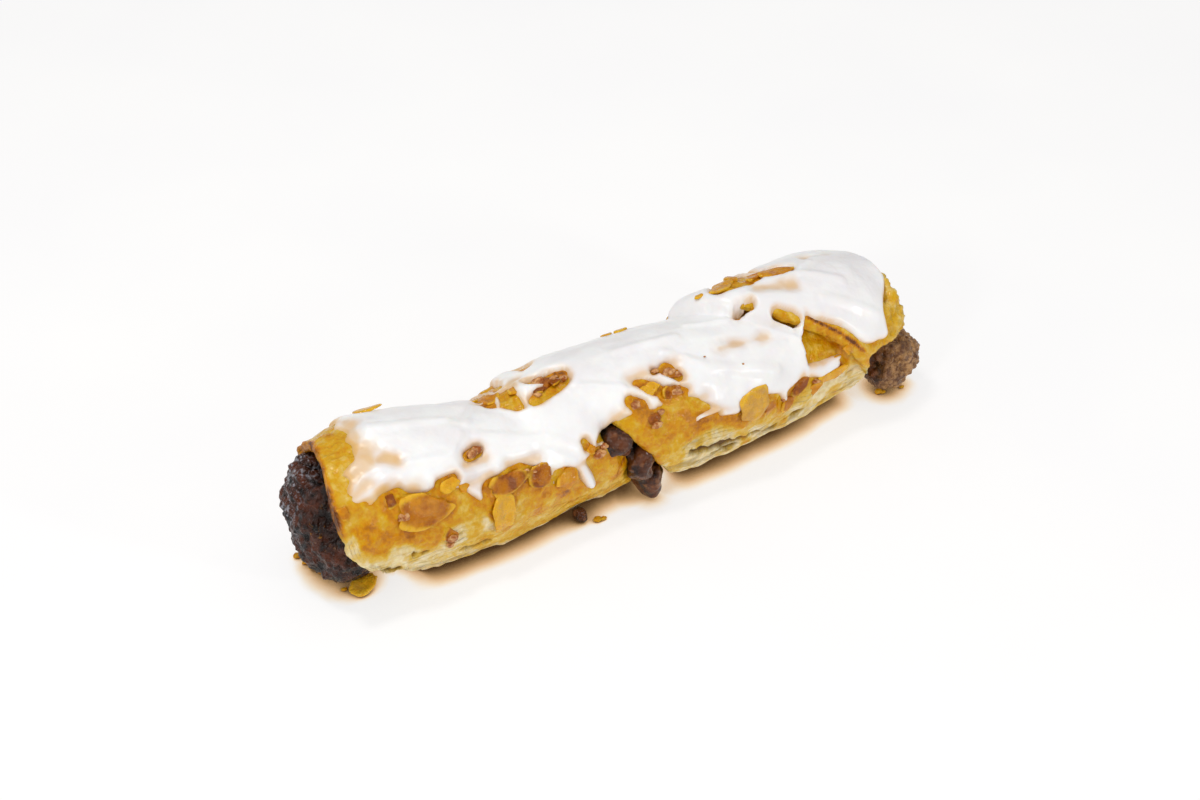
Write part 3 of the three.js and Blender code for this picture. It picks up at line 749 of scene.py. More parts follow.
STRAW_STROKES = [
    ((-74, -14), (-70, -30), 1.2, 0.6), ((-54, 8), (-51, -20), 2.6, 2.0), ((-48, -24), (-26, -40), 5.0, 4.0),
    ((-26, -34), (2, -44), 5.0, 4.0), ((32, -12), (36, -34), 2.2, 1.2), ((46, -18), (50, -40), 2.0, 1.2),
    ((66, -16), (72, -34), 2.4, 1.6), ((9, -8), (11, -30), 2.6, 1.6), ((60, 40), (68, 28), 3.2, 3.0),
    ((24, 12), (30, 4), 2.4, 2.4),
]
CRACKS = [
    ((14, -8), (20, -12), 0.5, 1.3), ((20, -12), (27, -17), 1.3, 1.7), ((27, -17), (38, -21), 1.5, 0.6),
    ((22, -22), (31, -28), 0.6, 0.8), ((-56, -22), (-47, -25), 0.2, 0.4), ((38, -24), (54, -22), 0.3, 0.5),
    ((-80, -12), (-74, -17), 0.2, 0.4), ((-70, -6), (-66, -9), 0.2, 0.3),
]
# Browned and shaded: low on the near side the crust is painted darker, partly browning and partly painted
# shade where it faces down towards the tray.
BROWNED_AND_SHADED = [
    ((12, -10), (34, -20), 5.5, 4.5), ((34, -24), (74, -28), 2.6, 3.0), ((-66, -30), (-46, -36), 2.0, 2.0),
]
TONGUE = [((90, 14), (92, 62), 6.0, 5.0)]

spot = points_of(pastry)
normal = normals_of(pastry)
x, around, radius = find(spot)
outwards = normal[:, 2] * np.sin(np.radians(around)) - normal[:, 1] * np.cos(np.radians(around))
edge_on = smooth(0.72, 0.35, outwards)
fibre = spot * (0.35, 1, 1)  # chance drawn out along the twist, as the leaves lie
line = glaze_line(x) + 5 * rough(spot, 8, 3, 21)
back_line = 196 + 8 * rough(spot, 12, 3, 22)
glaze = smooth(-5, 5, around - line) * smooth(6, -6, around - back_line)
amber = smooth(-1.0, 1.6, inside_any(x, around, AMBER_STROKES) + 1.3 * rough(spot, 4, 2, 23))
straw = smooth(-1.0, 1.0, inside_any(x, around, STRAW_STROKES) + 1.2 * rough(spot, 3, 2, 30))
straw = np.maximum(straw, 0.6 * smooth(0.1, 0.7, rough(spot, 11, 3, 31)))
crack = smooth(-0.4, 0.3, inside_any(x, around, CRACKS) + 0.8 * rough(spot, 2.2, 3, 24))
browned_and_shaded = smooth(-2.5, 2.0, inside_any(x, around, BROWNED_AND_SHADED)) * smooth(-0.4, 0.5, rough(fibre, 2.4, 3, 29))
pool = smooth(-1.2, 1.2, inside_any(x, around, ALMOND_SEATS) + 0.8 * rough(spot, 3, 2, 48))
tongue = smooth(-1.5, 1.5, inside_any(x, around, TONGUE) + rough(spot, 4, 2, 32))
from_burnt_end = x - burnt_end_at(around)
cut_band = smooth(4.2, 2.6, from_burnt_end + 0.8 * rough(spot, 3, 2, 33)) * smooth(30, 16, around)
cut_band *= smooth(200, 230, around + 360 * (around < 90))
rim = smooth(-77, -81, x) * smooth(40, 55, around)
flaky = (1 - glaze) * (1 - edge_on) * (1 - straw * 0.7) * (1 - cut_band)
print("shares, percent: glazed", round(100 * glaze.mean()), "amber", round(100 * amber.mean()),
      "flaky", round(100 * flaky.mean()))

# %% [markdown]
# The relief is laid on along the normals: blisters everywhere, ragged leaves where the dough is bare,
# wrinkles on the rim and a torn tongue at the open end. It fades out at the foot, which stays flat.

# %% Relief of the crust
wander = 1.2 * grain(spot, 9, 25) + 0.5 * grain(spot, 3, 26)
leaf = np.where(edge_on > 0.5, -radius / 0.8, around * ARC / 1.5) + wander
leaf = np.where(cut_band > 0.5, from_burnt_end / 0.9, leaf)
wrinkle = grain(spot * (0.25, 1, 1), 2.6, 34)
height = crust_relief(x, around) * (1 - 0.6 * edge_on)
height += np.maximum(flaky, cut_band) * (0.75 * rough(fibre, 2.6, 3, 27) - 0.2)
height += (1 - flaky) * 0.3 * rough(spot, 2.6, 3, 28)
height += rim * 0.45 * wrinkle
height += tongue * (1.6 * rough(spot, 3.0, 4, 35) + 0.2)
height += 0.35 * pool * (1 - edge_on)
height -= crack * 1.5
height *= smooth(0.3, 2.5, spot[:, 2])
spot = spot + normal * height[:, None]
spot[:, 2] = np.maximum(spot[:, 2], 0.0)
move_points(pastry, spot)
print("relief, mm:", round(float(height.min()), 2), "to", round(float(height.max()), 2))

# %% [markdown]
# Baking follows the same areas: the glazed top browns most, edges scorch and bare dough stays pale. Each
# line below lays one kind of place over the last.

# %% How far each place is baked
lip_gap = np.min([np.abs(x - lip_at(k - wrapped(around))) for k in (-360, 0, 360)], axis=0)
bake = 0.1 + 0.06 * rough(spot, 6, 3, 36) + 0.3 * straw + 0.12 * smooth(0.1, 0.8, rough(fibre, 2.2, 3, 37))
bake = mix(bake, 0.52 + 0.1 * rough(spot, 5, 3, 38) + 0.2 * np.maximum(amber, 0.9 * pool), glaze)
bake = mix(bake, 0.38 + 0.1 * rough(spot, 2.5, 3, 39), tongue)
bake = mix(bake, 0.18 + 0.1 * rough(spot, 3, 2, 40), cut_band)
bake = mix(bake, 0.5 + 0.14 * wrinkle + 0.1 * rough(spot, 4, 2, 49), rim)
bake += 0.1 * bell(lip_gap, 0, 1.2) * glaze
bake += 0.3 * smooth(1.4, 0.2, from_burnt_end) * smooth(10, 30, around)
browned_edge = np.maximum(bake, 0.5 + 0.1 * rough(spot, 3, 2, 41))
bake = mix(bake, browned_edge, edge_on * (1 - cut_band) * (1 - tongue))
scorched = bell(x - lip_at(360 - wrapped(around)), 3.2, 1.4) * smooth(54, 60, x) * smooth(10, 20, around)
bake = np.maximum(bake, scorched * smooth(75, 66, around))
# The cracks bake darker: painted shade in them.
mark(pastry, "bake", np.clip(bake + 0.35 * crack, 0, 1))
mark(pastry, "film", np.clip(glaze * (1 - 0.5 * edge_on) + 0.5 * straw, 0, 1))
mark(pastry, "leaf", leaf)
mark(pastry, "leafy", np.clip(np.maximum(flaky, np.maximum(edge_on, cut_band)), 0, 1))
# This number holds the cracks and the browned and shaded places; the material darkens them with painted
# shade.
mark(pastry, "crack", np.maximum(crack, 0.45 * browned_and_shaded * (1 - glaze)))
print("mean bake:", round(float(bake.mean()), 2))

# %% [markdown]
# Baked puff pastry under an apricot glaze: flour and butter give a cream body that light enters a little
# way, and the glaze a yellow film with amber pools that shines like thin varnish. Leaf edges show as fine
# dark lines about a millimetre apart where the dough is bare.

# %% Pastry material
BAKE_TONES = [(0.0, "#EFE0B8"), (0.18, "#E3CB92"), (0.36, "#DCB64E"), (0.52, "#D4A216"), (0.72, "#CC8602"),
              (0.88, "#B06A0C"), (1.0, "#6A3C18")]

crust = new_material("glazed_puff_pastry")
bake_here = broken_up(crust, "bake", 3.2, 0.42, 0.6, most=0.16, detail=5, operation="ADD")
paler = mottled(crust, 1.3, 0.45, 0.65, most=0.14)
bake_here = add(crust, "Math", {0: bake_here, 1: paler}, operation="SUBTRACT")
tone = add(crust, "ValToRGB", {"Fac": bake_here}, tones=BAKE_TONES)
leaf = add(crust, "Attribute", {}, "Fac", attribute_name="leaf")
leaf_edge = add(crust, "Math", {0: leaf}, operation="FRACT")
leaf_edge = add(crust, "MapRange", {"Value": leaf_edge, "From Min": 0.7, "From Max": 1.0})
leafy = broken_up(crust, "leafy", 5, 0.42, 0.6, stretch=(0.4, 1, 1))
leaf_shade = add(crust, "Math", {0: leaf_edge, 1: leafy}, operation="MULTIPLY")
# Painted shade: the leaf edges and, stronger, the cracks and the browned and shaded places turn dark brown.
crack_shade = add(crust, "Attribute", {}, "Fac", attribute_name="crack")
for here, share, colour in ((leaf_shade, 0.45, "#8F6A34"), (crack_shade, 0.95, "#5A3E28")):
    here = add(crust, "Math", {0: here, 1: share}, operation="MULTIPLY")
    tone = add(crust, "Mix", {0: here, 6: tone, 7: colour}, **BLEND)
film = add(crust, "Attribute", {}, "Fac", attribute_name="film")
shine = add(crust, "MapRange", {"Value": film, "To Min": 0.7, "To Max": 0.08})
shine = add(crust, "Math", {0: shine, 1: mottled(crust, 2.4, most=0.12)}, operation="ADD")
flakes_up = mottled(crust, 1.1, 0.3, 0.7, stretch=(0.3, 1, 1), detail=4)
flakes_up = add(crust, "Math", {0: flakes_up, 1: leafy}, operation="MULTIPLY")
blisters, pores = mottled(crust, 2.6, 0.3, 0.7), mottled(crust, 0.8, 0.3, 0.7)
relief = add(crust, "Bump", {"Height": flakes_up, "Distance": 0.3 * MM, "Strength": 0.9})
for bumps, rise in ((leaf_shade, -0.22), (blisters, 0.4), (pores, 0.05)):
    relief = add(crust, "Bump", {"Height": bumps, "Distance": rise * MM, "Normal": relief})
surface = add(crust, "BsdfPrincipled", {
    "Base Color": tone, "Roughness": shine, "IOR": 1.46, "Specular IOR Level": 0.28,
    "Subsurface Weight": 0.15, "Subsurface Radius": (1.0, 0.55, 0.2), "Subsurface Scale": 1.6 * MM,
    "Normal": relief})
add(crust, "OutputMaterial", {"Surface": surface})
hand_over(pastry, crust, "pastry", "pastry")

# %% [markdown]
# ## The filling
# Ground nuts, sugar and cocoa, which boiled out of both ends and out of the front lap. At the left end it
# burnt to crags with a few deep pits. A core runs right through, and each mass that leaked is a rounded
# ball. A remesh makes them one closed skin, which chance of several sizes then roughens.

# %% Filling masses
LEAKS = [
    ((-5.5, -14.5, 24), (5.2, 5, 5.4)),
    ((0.5, -16, 15.5), (4.4, 5, 6)),
    ((2, -12.5, 11), (4, 5.5, 6)),
    ((5.2, -14.4, 6.8), (4.3, 4.6, 5.6)),
    ((91.8, -5.6, 10.6), (9.2, 8.2, 8.8), 2.3),
]
CORE_FROM, CORE_LENGTH = -93.0, 185.0
CORE_COLUMNS, CORE_ROWS = 240, 72
FILLING_VOXEL = 0.5
FILLING_INSET = 0.3  # which leaves room for the relief
CHAR_PITS = [(-84.2, 5.5, 35.8), (-86, -1.1, 36), (-87.5, -8, 32), (-90.3, -9.3, 25.3), (-90, -11.1, 22.6)]


def core_points(column, row):
    x = CORE_FROM + CORE_LENGTH * column / CORE_COLUMNS
    return place(x, 360 * row / CORE_ROWS, filling_at(x) - FILLING_INSET)


def leak_mass(middle, half, roundness=2.1):
    mass, unit = ball(subdivisions=4)
    unit /= ((np.abs(unit) ** roundness).sum(-1) ** (1 / roundness))[:, None]
    move_points(mass, np.array(middle) + unit * (np.array(half) - FILLING_INSET))
    return mass


filling = [rolled("core", CORE_COLUMNS, CORE_ROWS, core_points)] + [leak_mass(*leak) for leak in LEAKS]
filling = joined("nut_filling", filling)
apply_modifier(filling, "REMESH", mode="VOXEL", voxel_size=FILLING_VOXEL * MM)
apply_modifier(filling, "SMOOTH", factor=0.5, iterations=4)
spot = points_of(filling)
char = smooth(-70, -80, spot[:, 0])
far_end = smooth(76, 82, spot[:, 0])
leaked = smooth(-11.5, -13.5, spot[:, 1]) * (1 - char) * (1 - far_end)
crags = np.abs(rough(spot, 5.5, 3, 43))
height = char * (0.4 - 1.8 * crags + 1.1 * rough(spot, 9, 2, 56) + 0.5 * rough(spot, 1.6, 3, 42))
height += char * smooth(-2, 8, spot[:, 1]) * (0.3 + 0.8 * grain(spot * (1, 0.4, 1.6), 3, 57))
pits = np.max([bell(np.linalg.norm(spot - pit, axis=1), 0, 3.8) for pit in CHAR_PITS], axis=0) * char
height -= 3.5 * pits
height += far_end * (0.6 - 2.2 * np.abs(rough(spot, 6.0, 3, 44)) + 0.8 * rough(spot, 1.8, 3, 45))
height += leaked * (1.5 * rough(spot, 4.6, 2, 46) + 0.3 * rough(spot, 1.5, 2, 47))
spot = spot + normals_of(filling) * height[:, None]
spot[:, 2] = np.maximum(spot[:, 2], 0.15)
move_points(filling, spot)
mark(filling, "char", char)
mark(filling, "crumb", far_end * smooth(83, 91, spot[:, 0] + 0.3 * rough(spot, 4, 2, 58)))
# Painted shade, near black: in the pits and crags of the burnt end, towards its bottom and on the filling
# under the lap.
low_char_shade = 0.6 * char * smooth(12, 4, spot[:, 2])
under_lap_shade = leaked * smooth(18.6, 16.2, find(spot)[2])
crag_shade = smooth(0.3, 0.8, crags) * char
mark(filling, "hollow_shade", np.maximum.reduce([0.8 * pits, crag_shade, low_char_shade, under_lap_shade]))
mark(filling, "pocket", char * bell(np.linalg.norm(spot - (-90.5, -9, 23.5), axis=1), 0, 4.5))
mark(filling, "wet", leaked)
# Grey specks on the upper far side of the burnt end: partly ash and partly painted glints.
mark(filling, "ash_and_glints", char * smooth(-6, 6, spot[:, 1]) * smooth(8, 18, spot[:, 2]))
print("relief of the filling, mm:", round(float(height.min()), 2), "to", round(float(height.max()), 2))

# %% [markdown]
# Burnt sugar is nearly black with a hard glassy skin. Grey specks on its far crags are partly ash and partly
# painted glints, which stand in for their sparkle. Away from the burnt end the filling is the brown of
# chocolate nut paste, wet and smooth where it ran out, and full of paler crumbs of nut at the open end.
# Stored numbers say which tone is where, and each is laid over the last. One of them is painted shade, near
# black in the hollows of the burnt end, towards its bottom and under the lap.

# %% Filling material
paste = new_material("burnt_nut_paste")
ground_nut, nibs = mottled(paste, 3.2, detail=2), mottled(paste, 1.8, 0.56, 0.7, most=0.6)
brown = add(paste, "Mix", {0: ground_nut, 6: "#240C02", 7: "#623214"}, **BLEND)
brown = add(paste, "Mix", {0: nibs, 6: brown, 7: "#8A5630"}, **BLEND)
grit, skins = mottled(paste, 1.6, 0.38, 0.58, detail=5), mottled(paste, 5.0, 0.52, 0.66, most=0.7)
crumbs = add(paste, "Mix", {0: grit, 6: "#6E4628", 7: "#BC8E5C"}, **BLEND)
crumbs = add(paste, "Mix", {0: skins, 6: crumbs, 7: "#523226"}, **BLEND)
# Grey specks, partly ash and partly painted glints that stand in for the sparkle of the crags.
rusty, ash_and_glints = mottled(paste, 3.0, 0.38, 0.62, detail=5), broken_up(paste, "ash_and_glints", 1.1, 0.54, 0.62, detail=5)
charred = add(paste, "Mix", {0: rusty, 6: "#0A0302", 7: "#562408"}, **BLEND)
charred = add(paste, "Mix", {0: ash_and_glints, 6: charred, 7: "#94929A"}, **BLEND)
tone = brown
# Crumbs and char are the paste's own tones; the hollow shade is painted shade.
for name, colour in (("crumb", crumbs), ("char", charred), ("hollow_shade", "#120805")):
    here = add(paste, "Attribute", {}, "Fac", attribute_name=name)
    tone = add(paste, "Mix", {0: here, 6: tone, 7: colour}, **BLEND)
# Small amber spots in the burnt pocket: caramel, and painted glints of light in it.
caramel_and_glints = broken_up(paste, "pocket", 1.3, 0.64, 0.7, detail=2)
tone = add(paste, "Mix", {0: caramel_and_glints, 6: tone, 7: "#C98A30"}, **BLEND)
shine = mottled(paste, 1.6, 0.3, 0.7, most=0.25)
shine = add(paste, "Math", {0: shine, 1: 0.12}, operation="ADD")
dry = add(paste, "Attribute", {}, "Fac", attribute_name="wet")
dry = add(paste, "MapRange", {"Value": dry, "To Min": 1.0, "To Max": 0.4})
shine = add(paste, "Math", {0: shine, 1: dry}, operation="MULTIPLY")
fine, coarse = mottled(paste, 0.9, 0.3, 0.7, detail=4), mottled(paste, 2.4, 0.3, 0.7)
relief = add(paste, "Bump", {"Height": fine, "Distance": 0.3 * MM, "Strength": dry})
relief = add(paste, "Bump", {"Height": coarse, "Distance": 0.7 * MM, "Strength": dry, "Normal": relief})
surface = add(paste, "BsdfPrincipled", {
    "Base Color": tone, "Roughness": shine, "IOR": 1.5, "Specular IOR Level": 0.34, "Normal": relief})
add(paste, "OutputMaterial", {"Surface": surface})
hand_over(filling, paste, "filling", "filling")

# %% [markdown]
# ## The icing
# Icing sugar and water, poured along the top. It runs down both sides in drips, draws out to threads over
# the hollows and leaves bare places round the almonds. The cover is one number for each place: how far
# inside the icing it lies. A fine flat grid keeps what is covered, its border slides onto the edge, and the
# sheet is extruded and then wrapped round the twist as a rounded pool.

# %% Where the icing lies
front_edge_at = through(
    (-88, 44), (-86, 41), (-83, 38.5), (-79, 38), (-75, 41), (-71, 42), (-68, 38), (-64, 35), (-60, 36),
    (-56, 31), (-53, 27), (-50, 25), (-47, 29), (-43, 30), (-38, 31), (-34, 28), (-30, 21), (-27, 17),
    (-24, 16), (-21, 12), (-18.5, 14), (-15, 20), (-12, 29), (-9, 33), (-6, 37), (-2, 38), (6, 36.5),
    (14, 37), (18, 32), (21.5, 24), (25, 17), (29, 13), (33, 15), (38, 15), (42, 12), (45, 10), (49, 11),
    (53, 15), (55.5, 18), (56, 30), (56.6, 44), (57.5, 54), (60.5, 51.5), (64.6, 46), (69.8, 34), (73.3, 24),
    (76.4, 20.5), (79.5, 21.5), (82.8, 20.5), (84, 24), (88, 30),
)
left_edge_at = through(
    (30, -85), (41, -86), (47, -84.5), (54, -83), (60, -81.5), (66, -82), (72, -79), (78, -77.5), (84, -76.5),
    (92, -77), (100, -75.5), (112, -76.5), (124, -74), (136, -75), (150, -70), (170, -72),
)
right_edge_at = through(
    (15, 83.2), (25, 83.6), (33, 83.6), (40, 84.1), (47, 85.7), (55, 88.2), (63, 90.4), (75, 90.6), (90, 90),
    (100, 88.6), (130, 85), (165, 79),
)
ICING_RUNS = [
    ((-51, 27), (-49.8, 19), 1.9, 0.9), ((-28, 18), (-27.7, 2), 0.7, 0.5),
    ((-19, 12), (-15.7, -11), 1.9, 1.7), ((45.5, 12), (46.6, -1), 1.3, 0.8),
    ((46.5, 0), (48, -7), 0.6, 0.4), ((55.5, 18), (60, 13.5), 2.2, 2.6),
    ((60, 13.5), (65.5, 12.5), 2.6, 2.2), ((64.5, 15), (67, 17), 1.6, 1.2),
    ((23, 20), (16, 18.5), 1.0, 0.5), ((-15.5, 24), (-11, 23), 0.6, 0.8), ((25, 16), (30, 14), 1.4, 1.6),
]
BARE_PLACES = [
    ((-49.4, 49), (-46.6, 51), 1.4, 1.5), ((-74.5, 38), (-71, 39.5), 1.5, 1.7),
    ((-60, 38), (-56, 38), 0.9, 1.3), ((-16.8, 31), (-16.2, 26), 0.9, 1.1),
    ((-13.2, 18), (-12.5, 13), 1.4, 1.6), ((-33, 150), (-31.5, 100), 6.5, 4.6),
    ((-31, 98), (-28.8, 79), 3.6, 1.8), ((-24.6, 77), (-15, 85), 2.0, 2.0),
    ((-22, 98), (-14, 90), 1.6, 1.4), ((-18.5, 124), (-18.5, 134), 1.6, 2.6),
    ((-1.5, 48), (0.6, 41), 1.4, 2.0), ((2.8, 58), (7.6, 49), 1.1, 1.8), ((9, 44), (11, 43), 2.2, 2.1),
    ((13.5, 42.5), (15.2, 41), 1.1, 0.7), ((8.8, 62.5), (9.8, 62.5), 0.8, 0.6),
    ((12.4, 61), (14.8, 52), 1.7, 1.1), ((32, 10), (33.2, 9), 1.1, 1.1), ((42, 84), (45.6, 81), 0.5, 0.4),
    ((51, 67), (55, 57), 1.0, 0.8), ((42, 108), (50, 104), 2.4, 2.4), ((46, 120), (52, 112), 5.0, 5.0),
    ((58, 104), (63, 97), 2.2, 1.6), ((43, 132), (56, 140), 5.5, 6.0),
]
THREADS = [
    ((-36.5, 108), (-27, 112), 0.5, 0.9), ((-26.5, 112), (-27.2, 74), 0.9, 0.6),
    ((-26, 110), (-24, 140), 1.4, 2.4), ((-31, 110), (-33, 92), 0.7, 0.5),
    ((-31, 110), (-34, 150), 0.7, 1.0), ((56.5, 102), (52, 145), 0.8, 1.4),
    ((1.8, 56), (4.6, 39), 0.8, 0.8), ((11.6, 50), (8.8, 54), 0.7, 0.8),
]


RUN_MEETING, BARE_MEETING = 1.6, 1.2  # mm over which two borders flow into one
FRONT_SLANT = 0.85  # the front edge slants, so the shortest way to it is shorter than the way down


def back_edge_at(x):
    return 152 + 9 * np.sin(x / 7.5) + 6 * np.sin(x / 3.4 + 1)


def soft_max(a, b, reach):
    """The larger of two, with the corner between them filled, as a liquid fills it."""
    return np.maximum(a, b) + 0.25 * np.maximum(reach - np.abs(a - b), 0) ** 2 / reach


def icing_cover(x, around):
    front, back = (around - front_edge_at(x)) * ARC * FRONT_SLANT, (back_edge_at(x) - around) * ARC
    spread = np.minimum(front, back)
    spread = np.minimum(spread, np.minimum(x - left_edge_at(around), right_edge_at(around) - x))
    cover = soft_max(spread, inside_any(x, around, ICING_RUNS), RUN_MEETING)
    cover = -soft_max(-cover, inside_any(x, around, BARE_PLACES), BARE_MEETING)
    cover = soft_max(cover, inside_any(x, around, THREADS), BARE_MEETING)
    flat = np.stack([x, around * ARC, 0 * x], -1)
    return cover + 0.25 * grain(flat, 4.0, 54)


print("icing:", len(ICING_RUNS), "runs,", len(BARE_PLACES), "bare places,", len(THREADS), "threads")

# %% Keep what the icing covers, on a flat sheet of x and arc
ICING_STEP = 0.5
NUDGE = 0.05  # mm, for measuring the slope of the cover
ICING_FROM, ICING_TO = (-90.0, -20.0), (92.0, 175.0)
icing_columns = round((ICING_TO[0] - ICING_FROM[0]) / ICING_STEP)
icing_rows = round((ICING_TO[1] - ICING_FROM[1]) * ARC / ICING_STEP)


def flat_icing(column, row):
    x = mix(ICING_FROM[0], ICING_TO[0], column / icing_columns)
    s = ARC * mix(ICING_FROM[1], ICING_TO[1], row / icing_rows)
    return np.stack([x, s, 0 * x], -1)


def cover_of(points):
    return icing_cover(points[:, 0], points[:, 1] / ARC)


def slide_to_edge(points):
    """Moves flat points along the slope of the cover, in three steps, onto the icing's edge."""
    points = points.copy()
    for _ in range(3):
        here = cover_of(points)
        ahead = [cover_of(points + np.array(step)) for step in ((NUDGE, 0, 0), (0, NUDGE, 0))]
        slope = np.stack([(there - here) / NUDGE for there in ahead], -1)
        length = np.maximum((slope**2).sum(-1), 0.3)
        points[:, :2] -= (here / length)[:, None] * slope
    return points


icing = grid_sheet("sugar_icing", icing_columns, icing_rows, flat_icing)
outside = cover_of(points_of(icing)) < -0.3 * ICING_STEP
pick(icing)
bpy.ops.object.mode_set(mode="EDIT")
bpy.ops.mesh.select_mode(type="VERT")
bpy.ops.mesh.select_all(action="DESELECT")
bpy.ops.object.mode_set(mode="OBJECT")
icing.data.vertices.foreach_set("select", outside)
bpy.ops.object.mode_set(mode="EDIT")
bpy.ops.mesh.delete(type="VERT")
bpy.ops.mesh.select_all(action="DESELECT")
bpy.ops.mesh.select_non_manifold()
bpy.ops.object.mode_set(mode="OBJECT")
border = np.empty(len(icing.data.vertices), bool)
icing.data.vertices.foreach_get("select", border)
flat = points_of(icing)
flat[border] = slide_to_edge(flat[border])
move_points(icing, flat)
bpy.ops.object.mode_set(mode="EDIT")
bpy.ops.mesh.select_all(action="SELECT")
bpy.ops.mesh.extrude_region_move(TRANSFORM_OT_translate={"value": (0, 0, MM)})
bpy.ops.object.mode_set(mode="OBJECT")
print("icing sheet:", len(icing.data.polygons), "faces")

# %% [markdown]
# The upper side rises steeply at the edge, as surface tension makes it, to about a millimetre and a half.
# Soft ridges show where one pour ran over another, and veils are where a pour ran thin. The lower side is
# sunk into the crust. How thin the icing is, in a veil or at its edge, is stored for the colour.

# %% Wrap it round the twist
ICING_THICKNESS = 1.5
ICING_SINK = 0.9  # how far its lower side lies in the crust
EDGE_RISE = 2.0  # how far from its edge the icing reaches its thickness
VEIL_MOST = 0.8  # how see-through a veil is at most
RIDGES = [
    ((-79, 48), (-66, 56), 1.6, 1.4), ((-66, 56), (-55, 52), 1.4, 1.8), ((-55, 52), (-49, 66), 1.6, 1.0),
    ((-62, 42), (-52, 38), 1.5, 2.0), ((-44, 60), (-28, 44), 2.2, 2.0), ((-28, 44), (-18, 24), 2.4, 2.0),
    ((-12, 70), (-2, 58), 1.6, 1.4), ((14, 72), (24, 50), 1.5, 1.8), ((24, 50), (44, 30), 1.8, 2.2),
    ((-1, 38), (16, 35), 0.9, 0.9), ((30, 60), (50, 48), 1.6, 1.3), ((62, 90), (74, 70), 1.5, 1.5),
    ((66, 62), (80, 40), 1.8, 1.6), ((58, 84), (70, 96), 1.6, 1.2), ((-70, 90), (-50, 84), 2.2, 1.8),
    ((-46, 74), (-40, 96), 1.4, 1.2), ((2, 88), (20, 82), 1.6, 1.8), ((26, 92), (38, 84), 1.4, 1.6),
]
VEILS = [
    ((-81, 60), (-75, 76), 3.0, 3.6), ((-84, 46), (-78, 52), 2.0, 2.6), ((-72, 66), (-68, 62), 1.0, 2.0),
    ((-84, 43), (-66, 38), 1.4, 1.6), ((-75, 84), (-73, 112), 1.6, 1.4), ((-60, 31), (-46, 31), 1.0, 1.4),
    ((-40, 34), (-32, 31), 1.3, 1.5), ((-8, 37), (-4, 44), 1.8, 1.6), ((2, 62), (15, 62), 1.6, 1.4),
    ((0, 40), (20, 32), 0.9, 0.9), ((30, 60), (46, 56), 1.4, 1.0), ((72, 104), (78, 100), 0.6, 0.6),
    ((-36, 104), (-24, 112), 1.4, 1.6), ((-28, 104), (-28, 80), 1.0, 0.8), ((50, 92), (60, 80), 1.4, 1.0),
    ((-52, 44), (-46, 44), 1.2, 1.6),
]


def veil_at(x, around):
    swirl = rough(place(x, around, MEAN_RADIUS), 5, 2, 51)
    return smooth(-2.2, 1.8, inside_any(x, around, VEILS) + 1.3 * swirl)


flat = points_of(icing)
x, around, upper = flat[:, 0], flat[:, 1] / ARC, flat[:, 2] > 0.5
cover = np.maximum(icing_cover(x, around), 0)
spot = place(x, around, MEAN_RADIUS)
ground = read(ground_table, x, around) + crust_relief(x, around)
seat = read(seat_table, x, around) + 0.6 * crust_relief(x, around)
ridge = 0.7 * smooth(-0.6, 1.6, inside_any(x, around, RIDGES))
thin = veil_at(x, around)
left_rim = smooth(-68, -75, x) * smooth(4, 1, cover)
waves = 0.34 * grain(spot, 8, 52) + 0.12 * grain(spot, 3, 53)
body = ICING_THICKNESS - 0.9 * thin - 0.3 * left_rim + ridge * (1 - 0.6 * thin) + waves
rise = np.sqrt(1 - (1 - np.clip(cover / EDGE_RISE, 0, 1)) ** 2)
radius = np.where(upper, mix(ground - 0.12, seat + body, rise), ground - ICING_SINK)
move_points(icing, place(x, around, radius))
tidy_skin(icing, fill=False)
apply_modifier(icing, "SMOOTH", factor=0.4, iterations=2)
x, around, radius = find(points_of(icing))
cover = np.maximum(icing_cover(x, around) + 0.6 * rough(place(x, around, radius), 4, 2, 55), 0)
left = smooth(-68, -75, x)
edge = np.maximum(VEIL_MOST * smooth(2.2, 0.1, cover), left * smooth(4.0, 0.5, cover))
thin = np.maximum(VEIL_MOST * veil_at(x, around), edge)
mark(icing, "thin", thin)
print("icing body, mm:", round(float(body.min()), 2), "to", round(float(body.max()), 2),
      "and see-through, percent:", round(100 * float((thin > 0.5).mean())))

# %% [markdown]
# Sugar icing is white because of its crystals and a little clear because of the water: light goes in by
# about a millimetre. Thin places turn peach over golden crust and mauve over dark crust, and the thinnest,
# at the edges and most of all at the left end, take the crust's own gold.

# %% Icing material
sugar = new_material("poured_sugar_icing")
white = add(sugar, "Mix", {0: mottled(sugar, 12), 6: "#FBFAF8", 7: "#F1EEEE"}, **BLEND)
over_crust = add(sugar, "Mix", {0: mottled(sugar, 7), 6: "#E4B878", 7: "#DCC0AC"}, **BLEND)
thinness = broken_up(sugar, "thin", 6, 0.1, 0.7, detail=1.5, swirl=0.6)
tone = add(sugar, "Mix", {0: thinness, 6: white, 7: over_crust}, **BLEND)
seen_through = add(sugar, "Attribute", {}, "Fac", attribute_name="thin")
seen_through = add(sugar, "MapRange", {
    "Value": seen_through, "From Min": 0.5, "From Max": 1.0, "To Max": 0.75})
tone = add(sugar, "Mix", {0: seen_through, 6: tone, 7: "#DFB05A"}, **BLEND)
relief = add(sugar, "Bump", {"Height": mottled(sugar, 4.5, detail=2), "Distance": 0.12 * MM})
surface = add(sugar, "BsdfPrincipled", {
    "Base Color": tone, "Roughness": 0.28, "IOR": 1.45, "Specular IOR Level": 0.4,
    "Subsurface Weight": 0.35, "Subsurface Radius": (1.0, 0.8, 0.65), "Subsurface Scale": 0.9 * MM,
    "Normal": relief})
add(sugar, "OutputMaterial", {"Surface": surface})
hand_over(icing, sugar, "icing", "icing")

